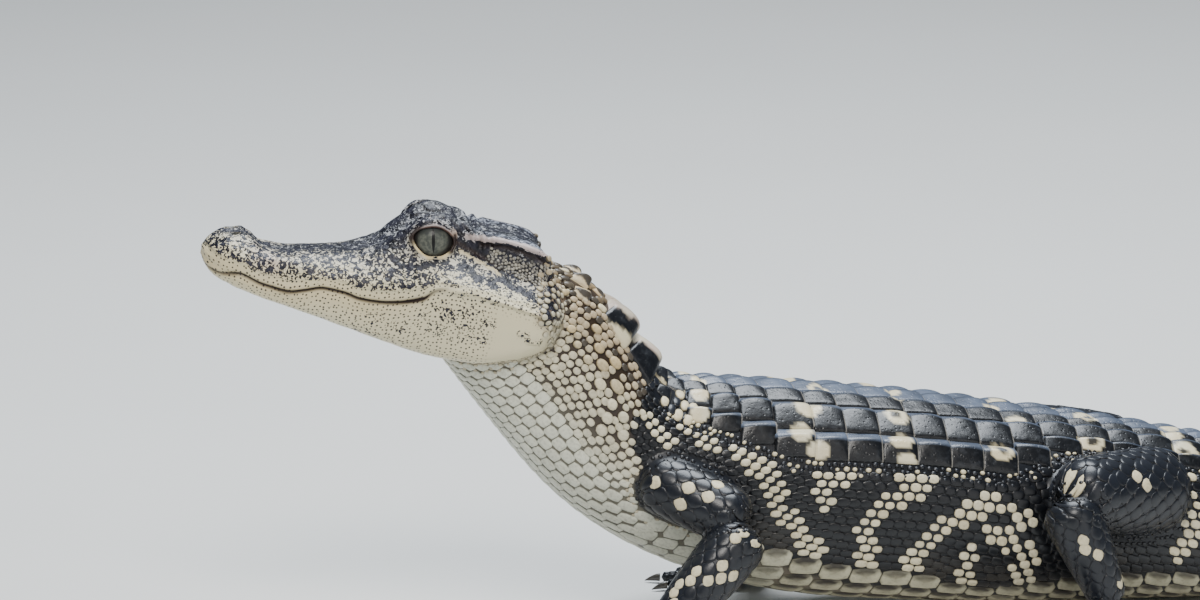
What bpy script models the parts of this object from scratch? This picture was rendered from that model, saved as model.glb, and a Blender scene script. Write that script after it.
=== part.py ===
"""A young American alligator at life size, chest raised on bent forelegs, as a still museum model.

The body is one loft along a spine path, from the back of the skull to the tip of the tail, parted at
planes across that path. The head is a loft along its own axis, and each leg is a chain of rounded lobes.
Head towards -X, left side towards -Y, floor at z = 0. Lengths are metres, and knots and stations are
written in millimetres and turned into metres by the helpers that read them.
"""
import math

import bmesh
import bpy
import numpy as np

MM = 0.001
GAP = 0.30 * MM
SINK = 2.4 * MM

# Spine stations: x, y, z of the centre line, then half width, height above it and depth below it.
STATIONS = (
    (-72, -2.0, 119.0, 19.0, 19.0, 24.0),
    (-58, -1.5, 103.0, 22.5, 28.5, 26.0),
    (-44, -1.0, 87.0, 25.0, 28.5, 27.5),
    (-26, 0.0, 69.0, 28.5, 24.2, 29.5),
    (0, 0.0, 55.5, 33.5, 28.5, 33.2),
    (36, 0.0, 48.0, 39.0, 31.0, 37.2),
    (72, 0.0, 43.0, 42.5, 30.5, 36.6),
    (115, 0.0, 37.0, 40.5, 29.0, 34.6),
    (155, 0.0, 31.5, 34.0, 26.5, 30.8),
    (190, 1.0, 26.5, 27.5, 24.0, 27.6),
    (225, 4.0, 23.0, 22.5, 21.5, 24.0),
    (280, 13.0, 19.5, 17.0, 19.0, 20.3),
    (340, 22.0, 17.0, 12.5, 16.5, 17.7),
    (400, 22.0, 14.0, 9.0, 13.5, 14.6),
    (460, 10.0, 11.0, 6.4, 10.5, 11.5),
    (515, -10.0, 7.6, 4.4, 7.3, 8.0),
    (560, -34.0, 4.6, 2.8, 4.4, 4.9),
    (590, -54.0, 2.2, 1.4, 2.0, 2.4),
)
# Superellipse power of the cross-section at each station.
ROUNDNESS = (2.1, 2.1, 2.1, 2.2, 2.3, 2.4, 2.4, 2.4, 2.4, 2.4, 2.4, 2.4, 2.3, 2.3, 2.2, 2.1, 2.0, 2.0)

# Where the body loft is parted, as lengths along the spine.
NECK_START = 2 * MM
NECK_END = 66 * MM
TORSO_END = 288 * MM
TAIL_CUTS = (288 * MM, 420 * MM, 560 * MM)
TORSO_RINGS = 25
TORSO_AROUND = 26

# Dorsal armour.
PLATE_PITCH = 10.4 * MM
PLATE_SHARES = (0.35, 0.33, 0.32)
PLATE_KEELS = (1.4, 1.8, 2.0)
PLATE_LIFT = 1.0 * MM
OVERLAP = 0.1
PLATE_FIRST = 84 * MM
TORSO_ROWS = 19
CREST_PITCH = 10.4 * MM
CREST_JOINS = 470 * MM
CREST_THICK = 2.0 * MM
CREST_TILT = 0.5

# The head's own frame: snout tip, pitch up and turn to the animal's left.
SNOUT_TIP = (-163.2, 10.4, 135.9)
HEAD_PITCH = math.radians(12.4)
HEAD_TURN = math.radians(-6.0)
HEAD_BACK = 112 * MM
HEAD_LENGTH = 121 * MM
NOSE_CAP = 12 * MM

EYE = (72.5, 11.5, 19.2)
EYE_RADIUS = 7.1 * MM
LID_THICK = 1.1 * MM
# The window between the lids: how far out its cutter stands, and its radii back, sideways and up.
EYE_WINDOW = (8.0, (9.4, 6.4, 5.5))
EAR_GROOVE_RADIUS = 0.9 * MM
EAR_BACK = (84, 87, 92, 98, 104, 109, 112)
EAR_CORNER = 1.45
NOSTRIL = (10.4, 4.3, 9.8)


def line(*knots):
    """A smooth curve through (place, value) knots in millimetres, with no overshoot, in metres."""
    place = np.array([k[0] for k in knots], float) * MM
    value = np.array([k[1] for k in knots], float) * MM
    slope = np.diff(value) / np.diff(place)
    inner = np.zeros(len(place))
    same = slope[:-1] * slope[1:] > 0
    both = slope[:-1] + slope[1:]
    inner[1:-1] = np.where(same, 2 * slope[:-1] * slope[1:] / np.where(both == 0, 1, both), 0)
    inner[0], inner[-1] = slope[0], slope[-1]

    def read(x):
        x = np.clip(np.asarray(x, float), place[0], place[-1])
        i = np.clip(np.searchsorted(place, x, side="right") - 1, 0, len(place) - 2)
        h = place[i + 1] - place[i]
        t = (x - place[i]) / h
        return (
            value[i] * (1 + 2 * t) * (1 - t) ** 2
            + inner[i] * h * t * (1 - t) ** 2
            + value[i + 1] * t * t * (3 - 2 * t)
            + inner[i + 1] * h * t * t * (t - 1)
        )

    return read


class Path:
    """A natural cubic curve through hand-placed rows, of which the first three numbers are x, y, z."""

    def __init__(self, rows):
        rows = np.array(rows, float) * MM
        t = np.concatenate([[0], np.cumsum(np.linalg.norm(np.diff(rows[:, :3], axis=0), axis=1))])
        self.t, self.rows = t, rows
        h = np.diff(t)
        a = np.eye(len(t))
        b = np.zeros_like(rows)
        for i in range(1, len(t) - 1):
            a[i, i - 1 : i + 2] = h[i - 1], 2 * (h[i - 1] + h[i]), h[i]
            b[i] = 6 * ((rows[i + 1] - rows[i]) / h[i] - (rows[i] - rows[i - 1]) / h[i - 1])
        self.bend = np.linalg.solve(a, b)
        fine = np.linspace(0, t[-1], 1200)
        step = np.linalg.norm(np.diff(self.raw(fine)[:, :3], axis=0), axis=1)
        self.fine, self.run = fine, np.concatenate([[0], np.cumsum(step)])
        self.length = self.run[-1]

    def raw(self, t):
        i = np.clip(np.searchsorted(self.t, t, side="right") - 1, 0, len(self.t) - 2)
        h = (self.t[i + 1] - self.t[i])[..., None]
        u = (t[..., None] - self.t[i][..., None]) / h
        v = 1 - u
        return (
            v * self.rows[i]
            + u * self.rows[i + 1]
            + h * h / 6 * ((v**3 - v) * self.bend[i] + (u**3 - u) * self.bend[i + 1])
        )

    def at(self, s):
        return self.raw(np.interp(s, self.run, self.fine))

    def frame(self, s):
        """Centre, direction along, left side and up at lengths s, and the other columns of the rows."""
        step = 0.5 * MM
        here = self.at(s)
        ahead = self.at(np.minimum(s + step, self.length))[..., :3]
        behind = self.at(np.maximum(s - step, 0))[..., :3]
        along = unit(ahead - behind)
        left = unit(np.cross(along, (0.0, 0.0, 1.0)))
        return here[..., :3], along, left, np.cross(left, along), here[..., 3:]


def unit(v):
    return v / np.maximum(np.linalg.norm(v, axis=-1, keepdims=True), 1e-12)


def power(x, p):
    return np.sign(x) * np.abs(x) ** p


SPINE = Path([row + (n / MM,) for row, n in zip(STATIONS, ROUNDNESS)])


def body_section(s, angle):
    """Point of the body at length s, angle from the back's midline towards the left side.

    The cross-section is a superellipse with its own height above the centre line and depth below it.
    """
    centre, _, left, up, size = SPINE.frame(s)
    width, above, below, roundness = (size[..., i] for i in range(4))
    side, rise = np.sin(angle), np.cos(angle)
    across = width * power(side, 2 / roundness)
    upright = np.where(rise > 0, above, below) * power(rise, 2 / roundness)
    return centre + left * across[..., None] + up * upright[..., None]


def body_point(s, share):
    """Point of the body at length s, share of the way round from the back (0) to the belly (1).

    Shares are even lengths of the girth, negative ones on the right side.
    """
    s, share = np.broadcast_arrays(np.asarray(s, float), np.asarray(share, float))
    angle = np.linspace(0, math.pi, 90)
    out = np.zeros(s.shape)
    for value in np.unique(s):
        ring = body_section(np.full(angle.shape, value), angle)
        run = np.concatenate([[0], np.cumsum(np.linalg.norm(np.diff(ring, axis=0), axis=1))])
        here = s == value
        out[here] = np.interp(np.abs(share[here]), run / run[-1], angle) * np.sign(share[here])
    return body_section(s, out)


def half_girth(s):
    """Length of the skin from the back's midline to the belly's at one place on the spine."""
    ring = body_section(np.full(60, s), np.linspace(0, math.pi, 60))
    return np.linalg.norm(np.diff(ring, axis=0), axis=1).sum()


def on_floor(points):
    """The points with none below the floor, so that what rests has a small flat."""
    points = points.copy()
    points[..., 2] = np.maximum(points[..., 2], 0.0)
    return points


def swollen(rings, by):
    """A closed stack of rings moved outwards along its own normals."""
    round_ring = np.concatenate([rings[:, -1:], rings, rings[:, :1]], axis=1)
    across = round_ring[:, 2:] - round_ring[:, :-2]
    along = np.gradient(rings, axis=0)
    normal = unit(np.cross(along, across))
    outward = rings - rings.mean(axis=1, keepdims=True)
    flip = np.sign((normal * outward).sum(axis=(1, 2)))[:, None, None]
    return rings + normal * flip * by


def material(name, colour, roughness=0.45, metallic=0.0):
    made = bpy.data.materials.get(name) or bpy.data.materials.new(name)
    made.use_nodes = True
    shader = made.node_tree.nodes["Principled BSDF"]
    shader.inputs["Base Color"].default_value = (*colour, 1.0)
    shader.inputs["Roughness"].default_value = roughness
    shader.inputs["Metallic"].default_value = metallic
    return made


def solid(name, points, faces, finish=None):
    """A closed mesh object with its faces turned outwards."""
    mesh = bpy.data.meshes.new(name)
    mesh.from_pydata([tuple(p) for p in np.asarray(points, float)], [], [tuple(f) for f in faces])
    made = bpy.data.objects.new(name, mesh)
    bpy.context.scene.collection.objects.link(made)
    shape = bmesh.new()
    shape.from_mesh(mesh)
    bmesh.ops.remove_doubles(shape, verts=shape.verts, dist=1e-7)
    bmesh.ops.recalc_face_normals(shape, faces=shape.faces)
    shape.to_mesh(mesh)
    shape.free()
    if finish:
        mesh.materials.append(finish)
    return made


def stack(name, rings, finish=None, blunt_start=False, blunt_end=False):
    """A closed solid through a stack of rings. Each end is one flat face, or a pole where it isn't blunt."""
    count, around = rings.shape[:2]
    points = rings.reshape(-1, 3)
    ring = np.arange(around)
    following = (ring + 1) % around
    faces = []
    for i in range(count - 1):
        low, high = i * around, (i + 1) * around
        faces += [(low + j, low + k, high + k, high + j) for j, k in zip(ring, following)]
    for blunt, end, inner in ((blunt_start, 0, 1), (blunt_end, count - 1, count - 2)):
        if blunt:
            faces.append(tuple(end * around + ring))
            continue
        middle = rings[end].mean(axis=0)
        points = np.concatenate([points, [middle + (middle - rings[inner].mean(axis=0)) * 0.3]])
        faces += [(len(points) - 1, end * around + k, end * around + j) for j, k in zip(ring, following)]
    return solid(name, points, faces, finish)


def combine(target, operation, others, solver="MANIFOLD"):
    """One Boolean of closed objects on target, applied, after which the others are removed."""
    tools = bpy.data.collections.new("tools")
    bpy.context.scene.collection.children.link(tools)
    for other in others:
        bpy.context.scene.collection.objects.unlink(other)
        tools.objects.link(other)
    change = target.modifiers.new("join", "BOOLEAN")
    change.operation = operation
    change.operand_type = "COLLECTION"
    change.collection = tools
    change.solver = solver
    bpy.context.view_layer.update()
    shown = target.evaluated_get(bpy.context.evaluated_depsgraph_get())
    mesh = bpy.data.meshes.new_from_object(shown)
    target.modifiers.clear()
    finish = list(target.data.materials)
    target.data = mesh
    mesh.materials.clear()
    for slot in finish[:1]:
        mesh.materials.append(slot)
    mesh.polygons.foreach_set("material_index", [0] * len(mesh.polygons))
    for other in others:
        bpy.data.objects.remove(other)
    bpy.data.collections.remove(tools)
    return target


def keep_largest(target):
    """Only the largest closed surface of an object stays."""
    shape = bmesh.new()
    shape.from_mesh(target.data)
    shape.verts.ensure_lookup_table()
    group = {}
    islands = []
    for first in shape.verts:
        if first in group:
            continue
        found, waiting = [], [first]
        group[first] = len(islands)
        while waiting:
            vertex = waiting.pop()
            found.append(vertex)
            for edge in vertex.link_edges:
                other = edge.other_vert(vertex)
                if other not in group:
                    group[other] = len(islands)
                    waiting.append(other)
        islands.append(found)
    largest = max(islands, key=lambda found: box_volume([v.co for v in found]))
    bmesh.ops.delete(shape, geom=[v for found in islands if found is not largest for v in found])
    shape.to_mesh(target.data)
    shape.free()
    return target


def box_volume(places):
    places = np.array([tuple(p) for p in places])
    return np.prod(places.max(axis=0) - places.min(axis=0))


SKIN_DARK = material("skin_dark", (0.035, 0.038, 0.045), 0.4)
SKIN_PALE = material("skin_pale", (0.62, 0.58, 0.44), 0.5)
SKIN_HEAD = material("skin_head", (0.30, 0.28, 0.23), 0.5)
SKIN_NECK = material("skin_neck", (0.42, 0.38, 0.29), 0.5)
EYE_GREY = material("eye_grey", (0.16, 0.16, 0.14), 0.08)
CLAW_HORN = material("claw_horn", (0.10, 0.09, 0.08), 0.35)


def body_length(name, start, end, rings, around, finish):
    """One length of the body loft, with flat ends across the spine, its belly on or above the floor."""
    s = np.linspace(start, end, rings)
    share = np.linspace(-1, 1, around, endpoint=False)
    grid = body_point(s[:, None] + 0 * share, share + 0 * s[:, None])
    return stack(name, on_floor(grid), finish, blunt_start=True, blunt_end=True)


def shield_half(s):
    """Width of the dorsal armour from the midline: widest over the ribs, narrow at shoulders and hips."""
    return line((84, 27.5), (104, 31), (125, 34), (145, 38), (168, 41), (194, 41), (206, 36), (216, 29),
                (228, 25), (250, 24), (290, 23))(s)


def plate_row(start):
    """One cross row of keeled plates that begins at one place on the spine, a closed strip set into the back.

    Each plate is low at its sides and rises to its keel towards the rear, and its front edge lies
    under the rear edge of the plate before it.
    """
    pitch = PLATE_PITCH
    girth = half_girth(start + pitch / 2)
    widths = np.array(PLATE_SHARES) * shield_half(start + pitch / 2)
    keels = np.array(PLATE_KEELS) * MM
    edges = np.concatenate([[0], np.cumsum(widths)])
    mids = (edges[:-1] + edges[1:]) / 2
    half = np.sort(np.concatenate([edges, mids]))
    across = np.concatenate([-half[:0:-1], half])
    profile = np.zeros(len(half))
    profile[1::2] = keels
    profile[2::2] = 0.25 * MM
    profile = np.concatenate([profile[:0:-1], profile])
    profile[len(half) - 1] = 0.25 * MM
    places = start + pitch * np.array([-OVERLAP, 0.55, 1.0])
    share_of_keel = np.array([0.15, 0.85, 1.0])
    base = np.array([0.1, 0.5, 0.9]) * PLATE_LIFT
    s = places[:, None] + 0 * across
    share = across[None, :] / girth + 0 * s
    skin = body_point(s, share)
    up = body_up(s, share, skin)
    top = skin + up * (base[:, None] + share_of_keel[:, None] * profile)[..., None]
    low = skin - up * SINK
    rows, cols = s.shape
    points = np.concatenate([top.reshape(-1, 3), low.reshape(-1, 3)])
    faces = []
    for i in range(rows - 1):
        for j in range(cols - 1):
            a, b = i * cols + j, i * cols + j + 1
            faces.append((a, b, b + cols, a + cols))
    under = rows * cols
    border = [j for j in range(cols)]
    border += [i * cols + cols - 1 for i in range(1, rows)]
    border += [(rows - 1) * cols + j for j in range(cols - 2, -1, -1)]
    border += [i * cols for i in range(rows - 2, 0, -1)]
    for a, b in zip(border, border[1:] + border[:1]):
        faces.append((b, a, a + under, b + under))
    for j in range(cols - 1):
        faces.append((under + j, under + 2 * cols + j, under + 2 * cols + j + 1, under + j + 1))
    for j in (0, cols - 1):
        faces.append((under + j, under + cols + j, under + 2 * cols + j))
    return solid("plate", points, faces)


def body_up(s, share, skin):
    """Outward normal of the body at each place."""
    step, turn = 0.4 * MM, 0.004
    along = body_point(s + step, share) - skin
    around = body_point(s, share + turn) - skin
    return unit(np.cross(along, around)) * -1.0


def single_plate(s, side, length, width, height, lean=0.25):
    """One keeled plate standing on the skin at length s and side, a place round the girth in metres.

    Its keel is a ridge that climbs to a point near its rear edge, and lean carries that point rearwards.
    """
    girth = half_girth(s)
    u = np.array([-0.5, -0.5, 0.5, 0.5, 0.0, 0.0]) * length
    v = np.array([-0.38, 0.38, 0.5, -0.5, -0.5, 0.5]) * width
    places = s + u
    share = (side + v) / girth
    skin = body_point(places, share)
    up = body_up(places, share, skin)
    rim = skin + up * 0.15 * height
    low = skin - up * SINK
    ridge_s = np.array([s - 0.42 * length, s, s + (0.30 + lean) * length])
    ridge = body_point(ridge_s, np.full(3, side / girth))
    rise = body_up(np.full(1, s), np.full(1, side / girth), body_point(np.full(1, s), np.full(1, side / girth)))
    ridge = ridge + rise * (np.array([0.3, 0.8, 1.0]) * height)[:, None]
    points = np.concatenate([rim, low, ridge])
    # Rim order: front left 0, front right 1, rear right 2, rear left 3, middle left 4, middle right 5.
    loop = (0, 1, 5, 2, 3, 4)
    faces = []
    for a, b in zip(loop, loop[1:] + loop[:1]):
        faces.append((a, b, b + 6, a + 6))
    faces.append(tuple(6 + a for a in reversed(loop)))
    front, middle, rear = 12, 13, 14
    faces += [(0, 1, front), (1, 5, middle, front), (5, 2, rear, middle), (2, 3, rear), (3, 4, middle, rear)]
    faces.append((4, 0, front, middle))
    return solid("plate", points, faces)


def crest_blade(s, side, length, height):
    """One tail crest scute: a thin fin that rises rearwards to a point, its root sunk in the tail.

    Fins of a double crest tilt outwards, away from each other.
    """
    places = s + length * np.array([-0.48, 0.5])
    middle = body_point(places, np.full(2, side / half_girth(s)))
    _, along, left, up, _ = SPINE.frame(places)
    tilt = unit(up + left * CREST_TILT * np.sign(side))
    flat = unit(np.cross(tilt, along))
    points = []
    for i, rise, thin in ((0, 0.12, 0.7), (1, 1.0, 0.3)):
        for k in (-0.5, 0.5):
            points.append(middle[i] + flat[i] * k * CREST_THICK - tilt[i] * SINK)
            swept = along[i] * rise * length * 0.12
            points.append(middle[i] + flat[i] * k * CREST_THICK * thin + tilt[i] * rise * height + swept)
    faces = [(0, 1, 5, 4), (2, 6, 7, 3), (1, 3, 7, 5), (0, 4, 6, 2), (0, 2, 3, 1), (4, 5, 7, 6)]
    return solid("crest", points, faces)


def make_neck():
    """The neck, with four large keeled plates behind the skull and pairs of small ones."""
    neck = body_length("neck", NECK_START, NECK_END - GAP / 2, 10, 26, SKIN_NECK)
    plates = []
    for side in (-1, 1):
        plates.append(single_plate(30 * MM, side * 4.4 * MM, 6.5 * MM, 6.5 * MM, 3.4 * MM))
        plates.append(single_plate(33 * MM, side * 11.5 * MM, 5 * MM, 5 * MM, 2.4 * MM))
        plates.append(single_plate(43.5 * MM, side * 5.6 * MM, 10.0 * MM, 9.8 * MM, 7.6 * MM, 0.30))
        plates.append(single_plate(55 * MM, side * 5.8 * MM, 10.0 * MM, 10.2 * MM, 8.0 * MM, 0.25))
        plates.append(single_plate(50 * MM, side * 15.5 * MM, 8 * MM, 6 * MM, 3.0 * MM))
    combine(neck, "UNION", plates)
    combine(neck, "DIFFERENCE", [head_block(GAP * 1.3)])
    return keep_largest(neck)


def make_torso():
    """The trunk, with cross rows of six keeled plates down the back that stop short of the thighs."""
    torso = body_length("torso", NECK_END + GAP / 2, TORSO_END - GAP / 2, TORSO_RINGS, TORSO_AROUND, SKIN_DARK)
    rows = [plate_row(PLATE_FIRST + row * PLATE_PITCH) for row in range(TORSO_ROWS)]
    armour = combine(rows[0], "UNION", rows[1:])
    thighs = [lobe("cut", upper_rows(name), grow=GAP * 1.2) for name in LEGS if name.startswith("hind")]
    combine(armour, "DIFFERENCE", thighs)
    plates = [single_plate(73 * MM, side * 4.6 * MM, 8 * MM, 7 * MM, 3.6 * MM) for side in (-1, 1)]
    combine(torso, "UNION", plates + [armour])
    return keep_largest(torso)


def crest_height(s):
    """Height of the tail's crest, low over the hips, tallest where the two rows meet, low at the tip."""
    return line((280, 2.6), (360, 4.2), (450, 5.6), (520, 7.0), (580, 6.6), (640, 5.0), (700, 2.6))(s)


def crest_gap(s):
    """Distance of each crest row from the midline, down to none where the rows join."""
    return line((280, 15.0), (340, 12.5), (400, 8.5), (445, 4.5), (470, 2.4), (700, 2.4))(s)


def make_tail():
    """The tail in three lengths, with two rows of crest scutes that run together into one."""
    ends = [TAIL_CUTS[0] + GAP / 2, TAIL_CUTS[1], TAIL_CUTS[2], SPINE.length - 1 * MM]
    names = ("tail_base", "tail_middle", "tail_tip")
    made = []
    for i, name in enumerate(names):
        start = ends[i] + (GAP / 2 if i else 0)
        end = ends[i + 1] - (GAP / 2 if i < 2 else 0)
        length = body_length(name, start, end, (10, 9, 10)[i], (18, 14, 12)[i], SKIN_DARK)
        blades = []
        row = 0
        s = TAIL_CUTS[0] + 6 * MM
        while s < SPINE.length - 14 * MM:
            pitch = CREST_PITCH * (1 - 0.30 * row / 36)
            size = 0.92 * pitch
            if start + 0.55 * size < s < end - 0.58 * size:
                height = float(crest_height(s))
                if s < CREST_JOINS:
                    gap = float(crest_gap(s))
                    blades += [crest_blade(s, side * gap, size, height) for side in (-1, 1)]
                    if gap > 11 * MM:
                        inner = [plate_between(s, side, gap, pitch) for side in (-1, 1)]
                        blades += inner
                else:
                    blades.append(crest_blade(s, 0.0, size, height))
            s += pitch
            row += 1
        combine(length, "UNION", blades)
        made.append(keep_largest(length))
    return made


def plate_between(s, side, gap, pitch):
    """A low keeled plate of the tail's root, between the midline and a crest row."""
    return single_plate(s, side * gap * 0.42, pitch * 0.9, gap * 0.62, 1.5 * MM, 0.1)


HEAD_LINES = {
    "top": line((2, 3.4), (6, 6.2), (11, 7.8), (15, 6.8), (19, 5.0), (26, 4.8), (34, 6.6), (46, 9.0), (56, 12.4),
                (64, 17.0), (70, 20.6), (78, 22.8), (86, 23.8), (100, 24.0), (106, 22.8), (109.5, 20.4),
                (113, 15.0), (118, 8.0)),
    "edge_w": line((2, 3.5), (11, 5.2), (18, 7.5), (34, 8.6), (50, 9.0), (62, 9.2), (70, 9.9), (78, 11.0),
                   (86, 13.8), (100, 15.5), (112, 16.0), (118, 14.4)),
    "edge_h": line((2, 3.2), (6, 6.6), (11, 8.6), (15, 7.4), (19, 5.2), (26, 4.6), (34, 6.0), (46, 8.8), (56, 13.8),
                   (63, 20.6), (69, 26.4), (74, 28.2), (80, 27.0), (86, 24.6), (100, 23.6), (107, 23.0),
                   (110.5, 21.2), (114, 14.0), (118, 8.0)),
    "under_w": line((2, 6.0), (9, 10.8), (20, 12.6), (34, 13.6), (50, 14.8), (62, 15.6), (73, 15.9),
                    (84, 15.8), (100, 16.6), (112, 18.6), (118, 19.0)),
    "under_h": line((2, 1.5), (9, 5.0), (20, 3.4), (34, 3.6), (50, 6.4), (62, 11.0), (73, 17.0),
                    (84, 17.0), (100, 16.0), (112, 13.6), (118, 12.0)),
    "cheek_w": line((2, 7.5), (9, 13.0), (16, 14.8), (24, 14.6), (30, 15.2), (42, 17.0), (56, 20.0),
                    (70, 23.6), (84, 26.8), (98, 29.2), (110, 30.4), (118, 29.0)),
    "cheek_h": line((2, -1.0), (9, 0.4), (20, -1.2), (30, -1.8), (42, 1.2), (56, 2.4), (70, 6.2), (84, 8.2),
                    (98, 7.0), (110, 5.4), (118, 4.0)),
    "lip": line((-10, -4.3), (3, -4.3), (11, -3.9), (21, -6.0), (28, -6.4), (34, -4.9), (40, -3.1), (46, -3.0),
                (52, -3.7), (58, -3.2), (64, -1.8), (71, 1.2), (76, 3.8), (90, 4.6), (105, 3.4), (118, 1.0),
                (140, -1.0)),
    "jaw_w": line((2, 6.4), (9, 11.2), (20, 13.4), (34, 15.0), (50, 17.6), (64, 21.2), (78, 25.2), (92, 28.4),
                  (106, 30.2), (118, 29.0)),
    "jaw_h": line((2, -5.0), (9, -6.2), (20, -7.6), (34, -7.6), (50, -6.8), (64, -6.0), (78, -4.8), (92, -4.8),
                  (106, -4.2), (118, -3.0)),
    "chin_w": line((2, 4.0), (9, 8.0), (20, 10.2), (34, 11.8), (50, 13.8), (64, 16.8), (78, 20.2), (92, 23.0),
                   (106, 24.0), (118, 22.0)),
    "chin_h": line((2, -5.6), (9, -8.2), (20, -10.4), (34, -12.2), (50, -14.4), (64, -16.2), (78, -17.4),
                   (92, -16.8), (106, -12.8), (118, -7.0)),
    "bottom": line((2, -6.0), (9, -8.6), (20, -10.8), (34, -12.6), (50, -14.8), (64, -16.2), (78, -16.8),
                   (92, -15.4), (106, -11.6), (118, -7.0)),
}
HEAD_STEPS = (3, 2, 2, 2, 2, 2, 2)


def head_corner(a):
    """The eight corners of the half section at distance a behind the snout tip: sideways and up."""
    get = {name: read(a) for name, read in HEAD_LINES.items()}
    zero = np.zeros_like(a)
    sideways = [zero, get["edge_w"], get["under_w"], get["cheek_w"], (get["cheek_w"] + get["jaw_w"]) / 2,
                get["jaw_w"], get["chin_w"], zero]
    upwards = [get["top"], get["edge_h"], get["under_h"], get["cheek_h"], get["lip"],
               get["jaw_h"], get["chin_h"], get["bottom"]]
    return np.stack(sideways, -1), np.stack(upwards, -1)


def head_place(back, sideways, upwards):
    """A point of the head's own frame, put in place in the model."""
    forward = np.array([
        -math.cos(HEAD_PITCH) * math.cos(HEAD_TURN),
        -math.cos(HEAD_PITCH) * math.sin(HEAD_TURN),
        math.sin(HEAD_PITCH),
    ])
    left = unit(np.cross((0.0, 0.0, 1.0), forward))
    up = np.cross(forward, left)
    tip = np.array(SNOUT_TIP) * MM
    back, sideways, upwards = (np.asarray(x, float)[..., None] for x in (back, sideways, upwards))
    return tip - forward * back + left * sideways + up * upwards


def head_curve(stations, places):
    """Sideways and up places of the head's surface, at corner numbers along the half section.

    The section is a Catmull-Rom curve through its corners. It shrinks along a quarter circle over the
    nose and again behind the skull.
    """
    nose = np.minimum(stations / NOSE_CAP, 1)
    rear = np.clip((stations - HEAD_BACK) / (HEAD_LENGTH - HEAD_BACK), 0, 1)
    shrink = np.sqrt(np.maximum(1 - (1 - nose) ** 2, 0)) * np.sqrt(np.maximum(1 - rear**2, 0))
    side, rise = head_corner(np.clip(stations, NOSE_CAP * 0.8, HEAD_BACK + 4 * MM))
    middle = np.where(stations < 0.5 * HEAD_BACK, 0.0, 3.0 * MM)
    side = side * shrink[:, None]
    rise = middle[:, None] + (rise - middle[:, None]) * shrink[:, None]
    side = np.concatenate([-side[:, 1:2], side, -side[:, -2:-1]], 1)
    rise = np.concatenate([rise[:, 1:2], rise, rise[:, -2:-1]], 1)
    i = np.minimum(np.asarray(places).astype(int), side.shape[1] - 4)
    f = places - i

    def through(c):
        p0, p1, p2, p3 = c[:, i], c[:, i + 1], c[:, i + 2], c[:, i + 3]
        return 0.5 * (2 * p1 + (p2 - p0) * f + (2 * p0 - 5 * p1 + 4 * p2 - p3) * f**2
                      + (3 * p1 - p0 - 3 * p2 + p3) * f**3)

    return through(side), through(rise)


def head_rings(stations):
    """The head's rings: the half section's curve on the left, and its mirror image on the right."""
    places = np.concatenate([i + np.arange(n) / n for i, n in enumerate(HEAD_STEPS)] + [[len(HEAD_STEPS)]])
    side, rise = head_curve(stations, places)
    side = np.concatenate([side, -side[:, -2:0:-1]], 1)
    rise = np.concatenate([rise, rise[:, -2:0:-1]], 1)
    return head_place(stations[:, None] + 0 * side, side, rise)


def head_stations():
    """Places of the rings: close over the nose, the brows and the back of the skull."""
    nose = NOSE_CAP * (1 - np.cos(np.radians([14, 38, 62])))
    snout = np.arange(9, 60, 5.1) * MM
    brow = np.arange(60, 92, 2.9) * MM
    table = np.arange(92, 112, 5.0) * MM
    rear = HEAD_BACK + (HEAD_LENGTH - HEAD_BACK) * np.sin(np.radians([0, 28, 52, 76]))
    return np.concatenate([nose, snout, brow, table, rear])


def head_block(grow=0.0):
    rings = head_rings(head_stations())
    if grow:
        rings = swollen(rings, grow)
    return stack("head_block", rings)


def ball(name, centre, radii, rings, around, finish=None):
    """A closed ellipsoid with radii along the head's back, sideways and up directions."""
    polar = np.linspace(0, math.pi, rings + 2)[1:-1]
    turn = np.linspace(0, 2 * math.pi, around, endpoint=False)
    back = centre[0] + radii[0] * np.sin(polar)[:, None] * np.cos(turn)
    side = centre[1] + radii[1] * np.cos(polar)[:, None] + 0 * turn
    rise = centre[2] + radii[2] * np.sin(polar)[:, None] * np.sin(turn)
    rings_at = head_place(back, side, rise)
    top = head_place(centre[0], centre[1] + radii[1], centre[2])
    low = head_place(centre[0], centre[1] - radii[1], centre[2])
    made = stack(name, rings_at, finish)
    made.data.vertices[-2].co = top
    made.data.vertices[-1].co = low
    return made


def tube(name, centres, radius, around=6, closed=False, finish=None):
    """A round tube along points, closed on itself or tapered shut at both ends."""
    centres = np.asarray(centres, float)
    if closed:
        along = unit(np.roll(centres, -1, 0) - np.roll(centres, 1, 0))
    else:
        along = unit(np.gradient(centres, axis=0))
    side = unit(np.cross(along, (0.31, 0.2, 0.93)))
    over = np.cross(side, along)
    turn = np.linspace(0, 2 * math.pi, around, endpoint=False)
    radius = np.broadcast_to(np.asarray(radius, float), (len(centres),))[:, None, None]
    circle = side[:, None] * np.cos(turn)[:, None] + over[:, None] * np.sin(turn)[:, None]
    rings = centres[:, None] + circle * radius
    if not closed:
        return stack(name, rings, finish, blunt_start=True, blunt_end=True)
    count = len(centres)
    faces = []
    for i in range(count):
        for j in range(around):
            k, n = (j + 1) % around, (i + 1) % count
            faces.append((i * around + j, i * around + k, n * around + k, n * around + j))
    return solid(name, rings.reshape(-1, 3), faces, finish)


def eye_part(name, side, radii, out=0.0, finish=None):
    """An ellipsoid about the middle of one eye, moved outwards along the head's own sideways axis."""
    centre = (EYE[0] * MM, side * (EYE[1] + out) * MM, EYE[2] * MM)
    return ball(name, centre, radii, 7, 14, finish)


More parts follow.
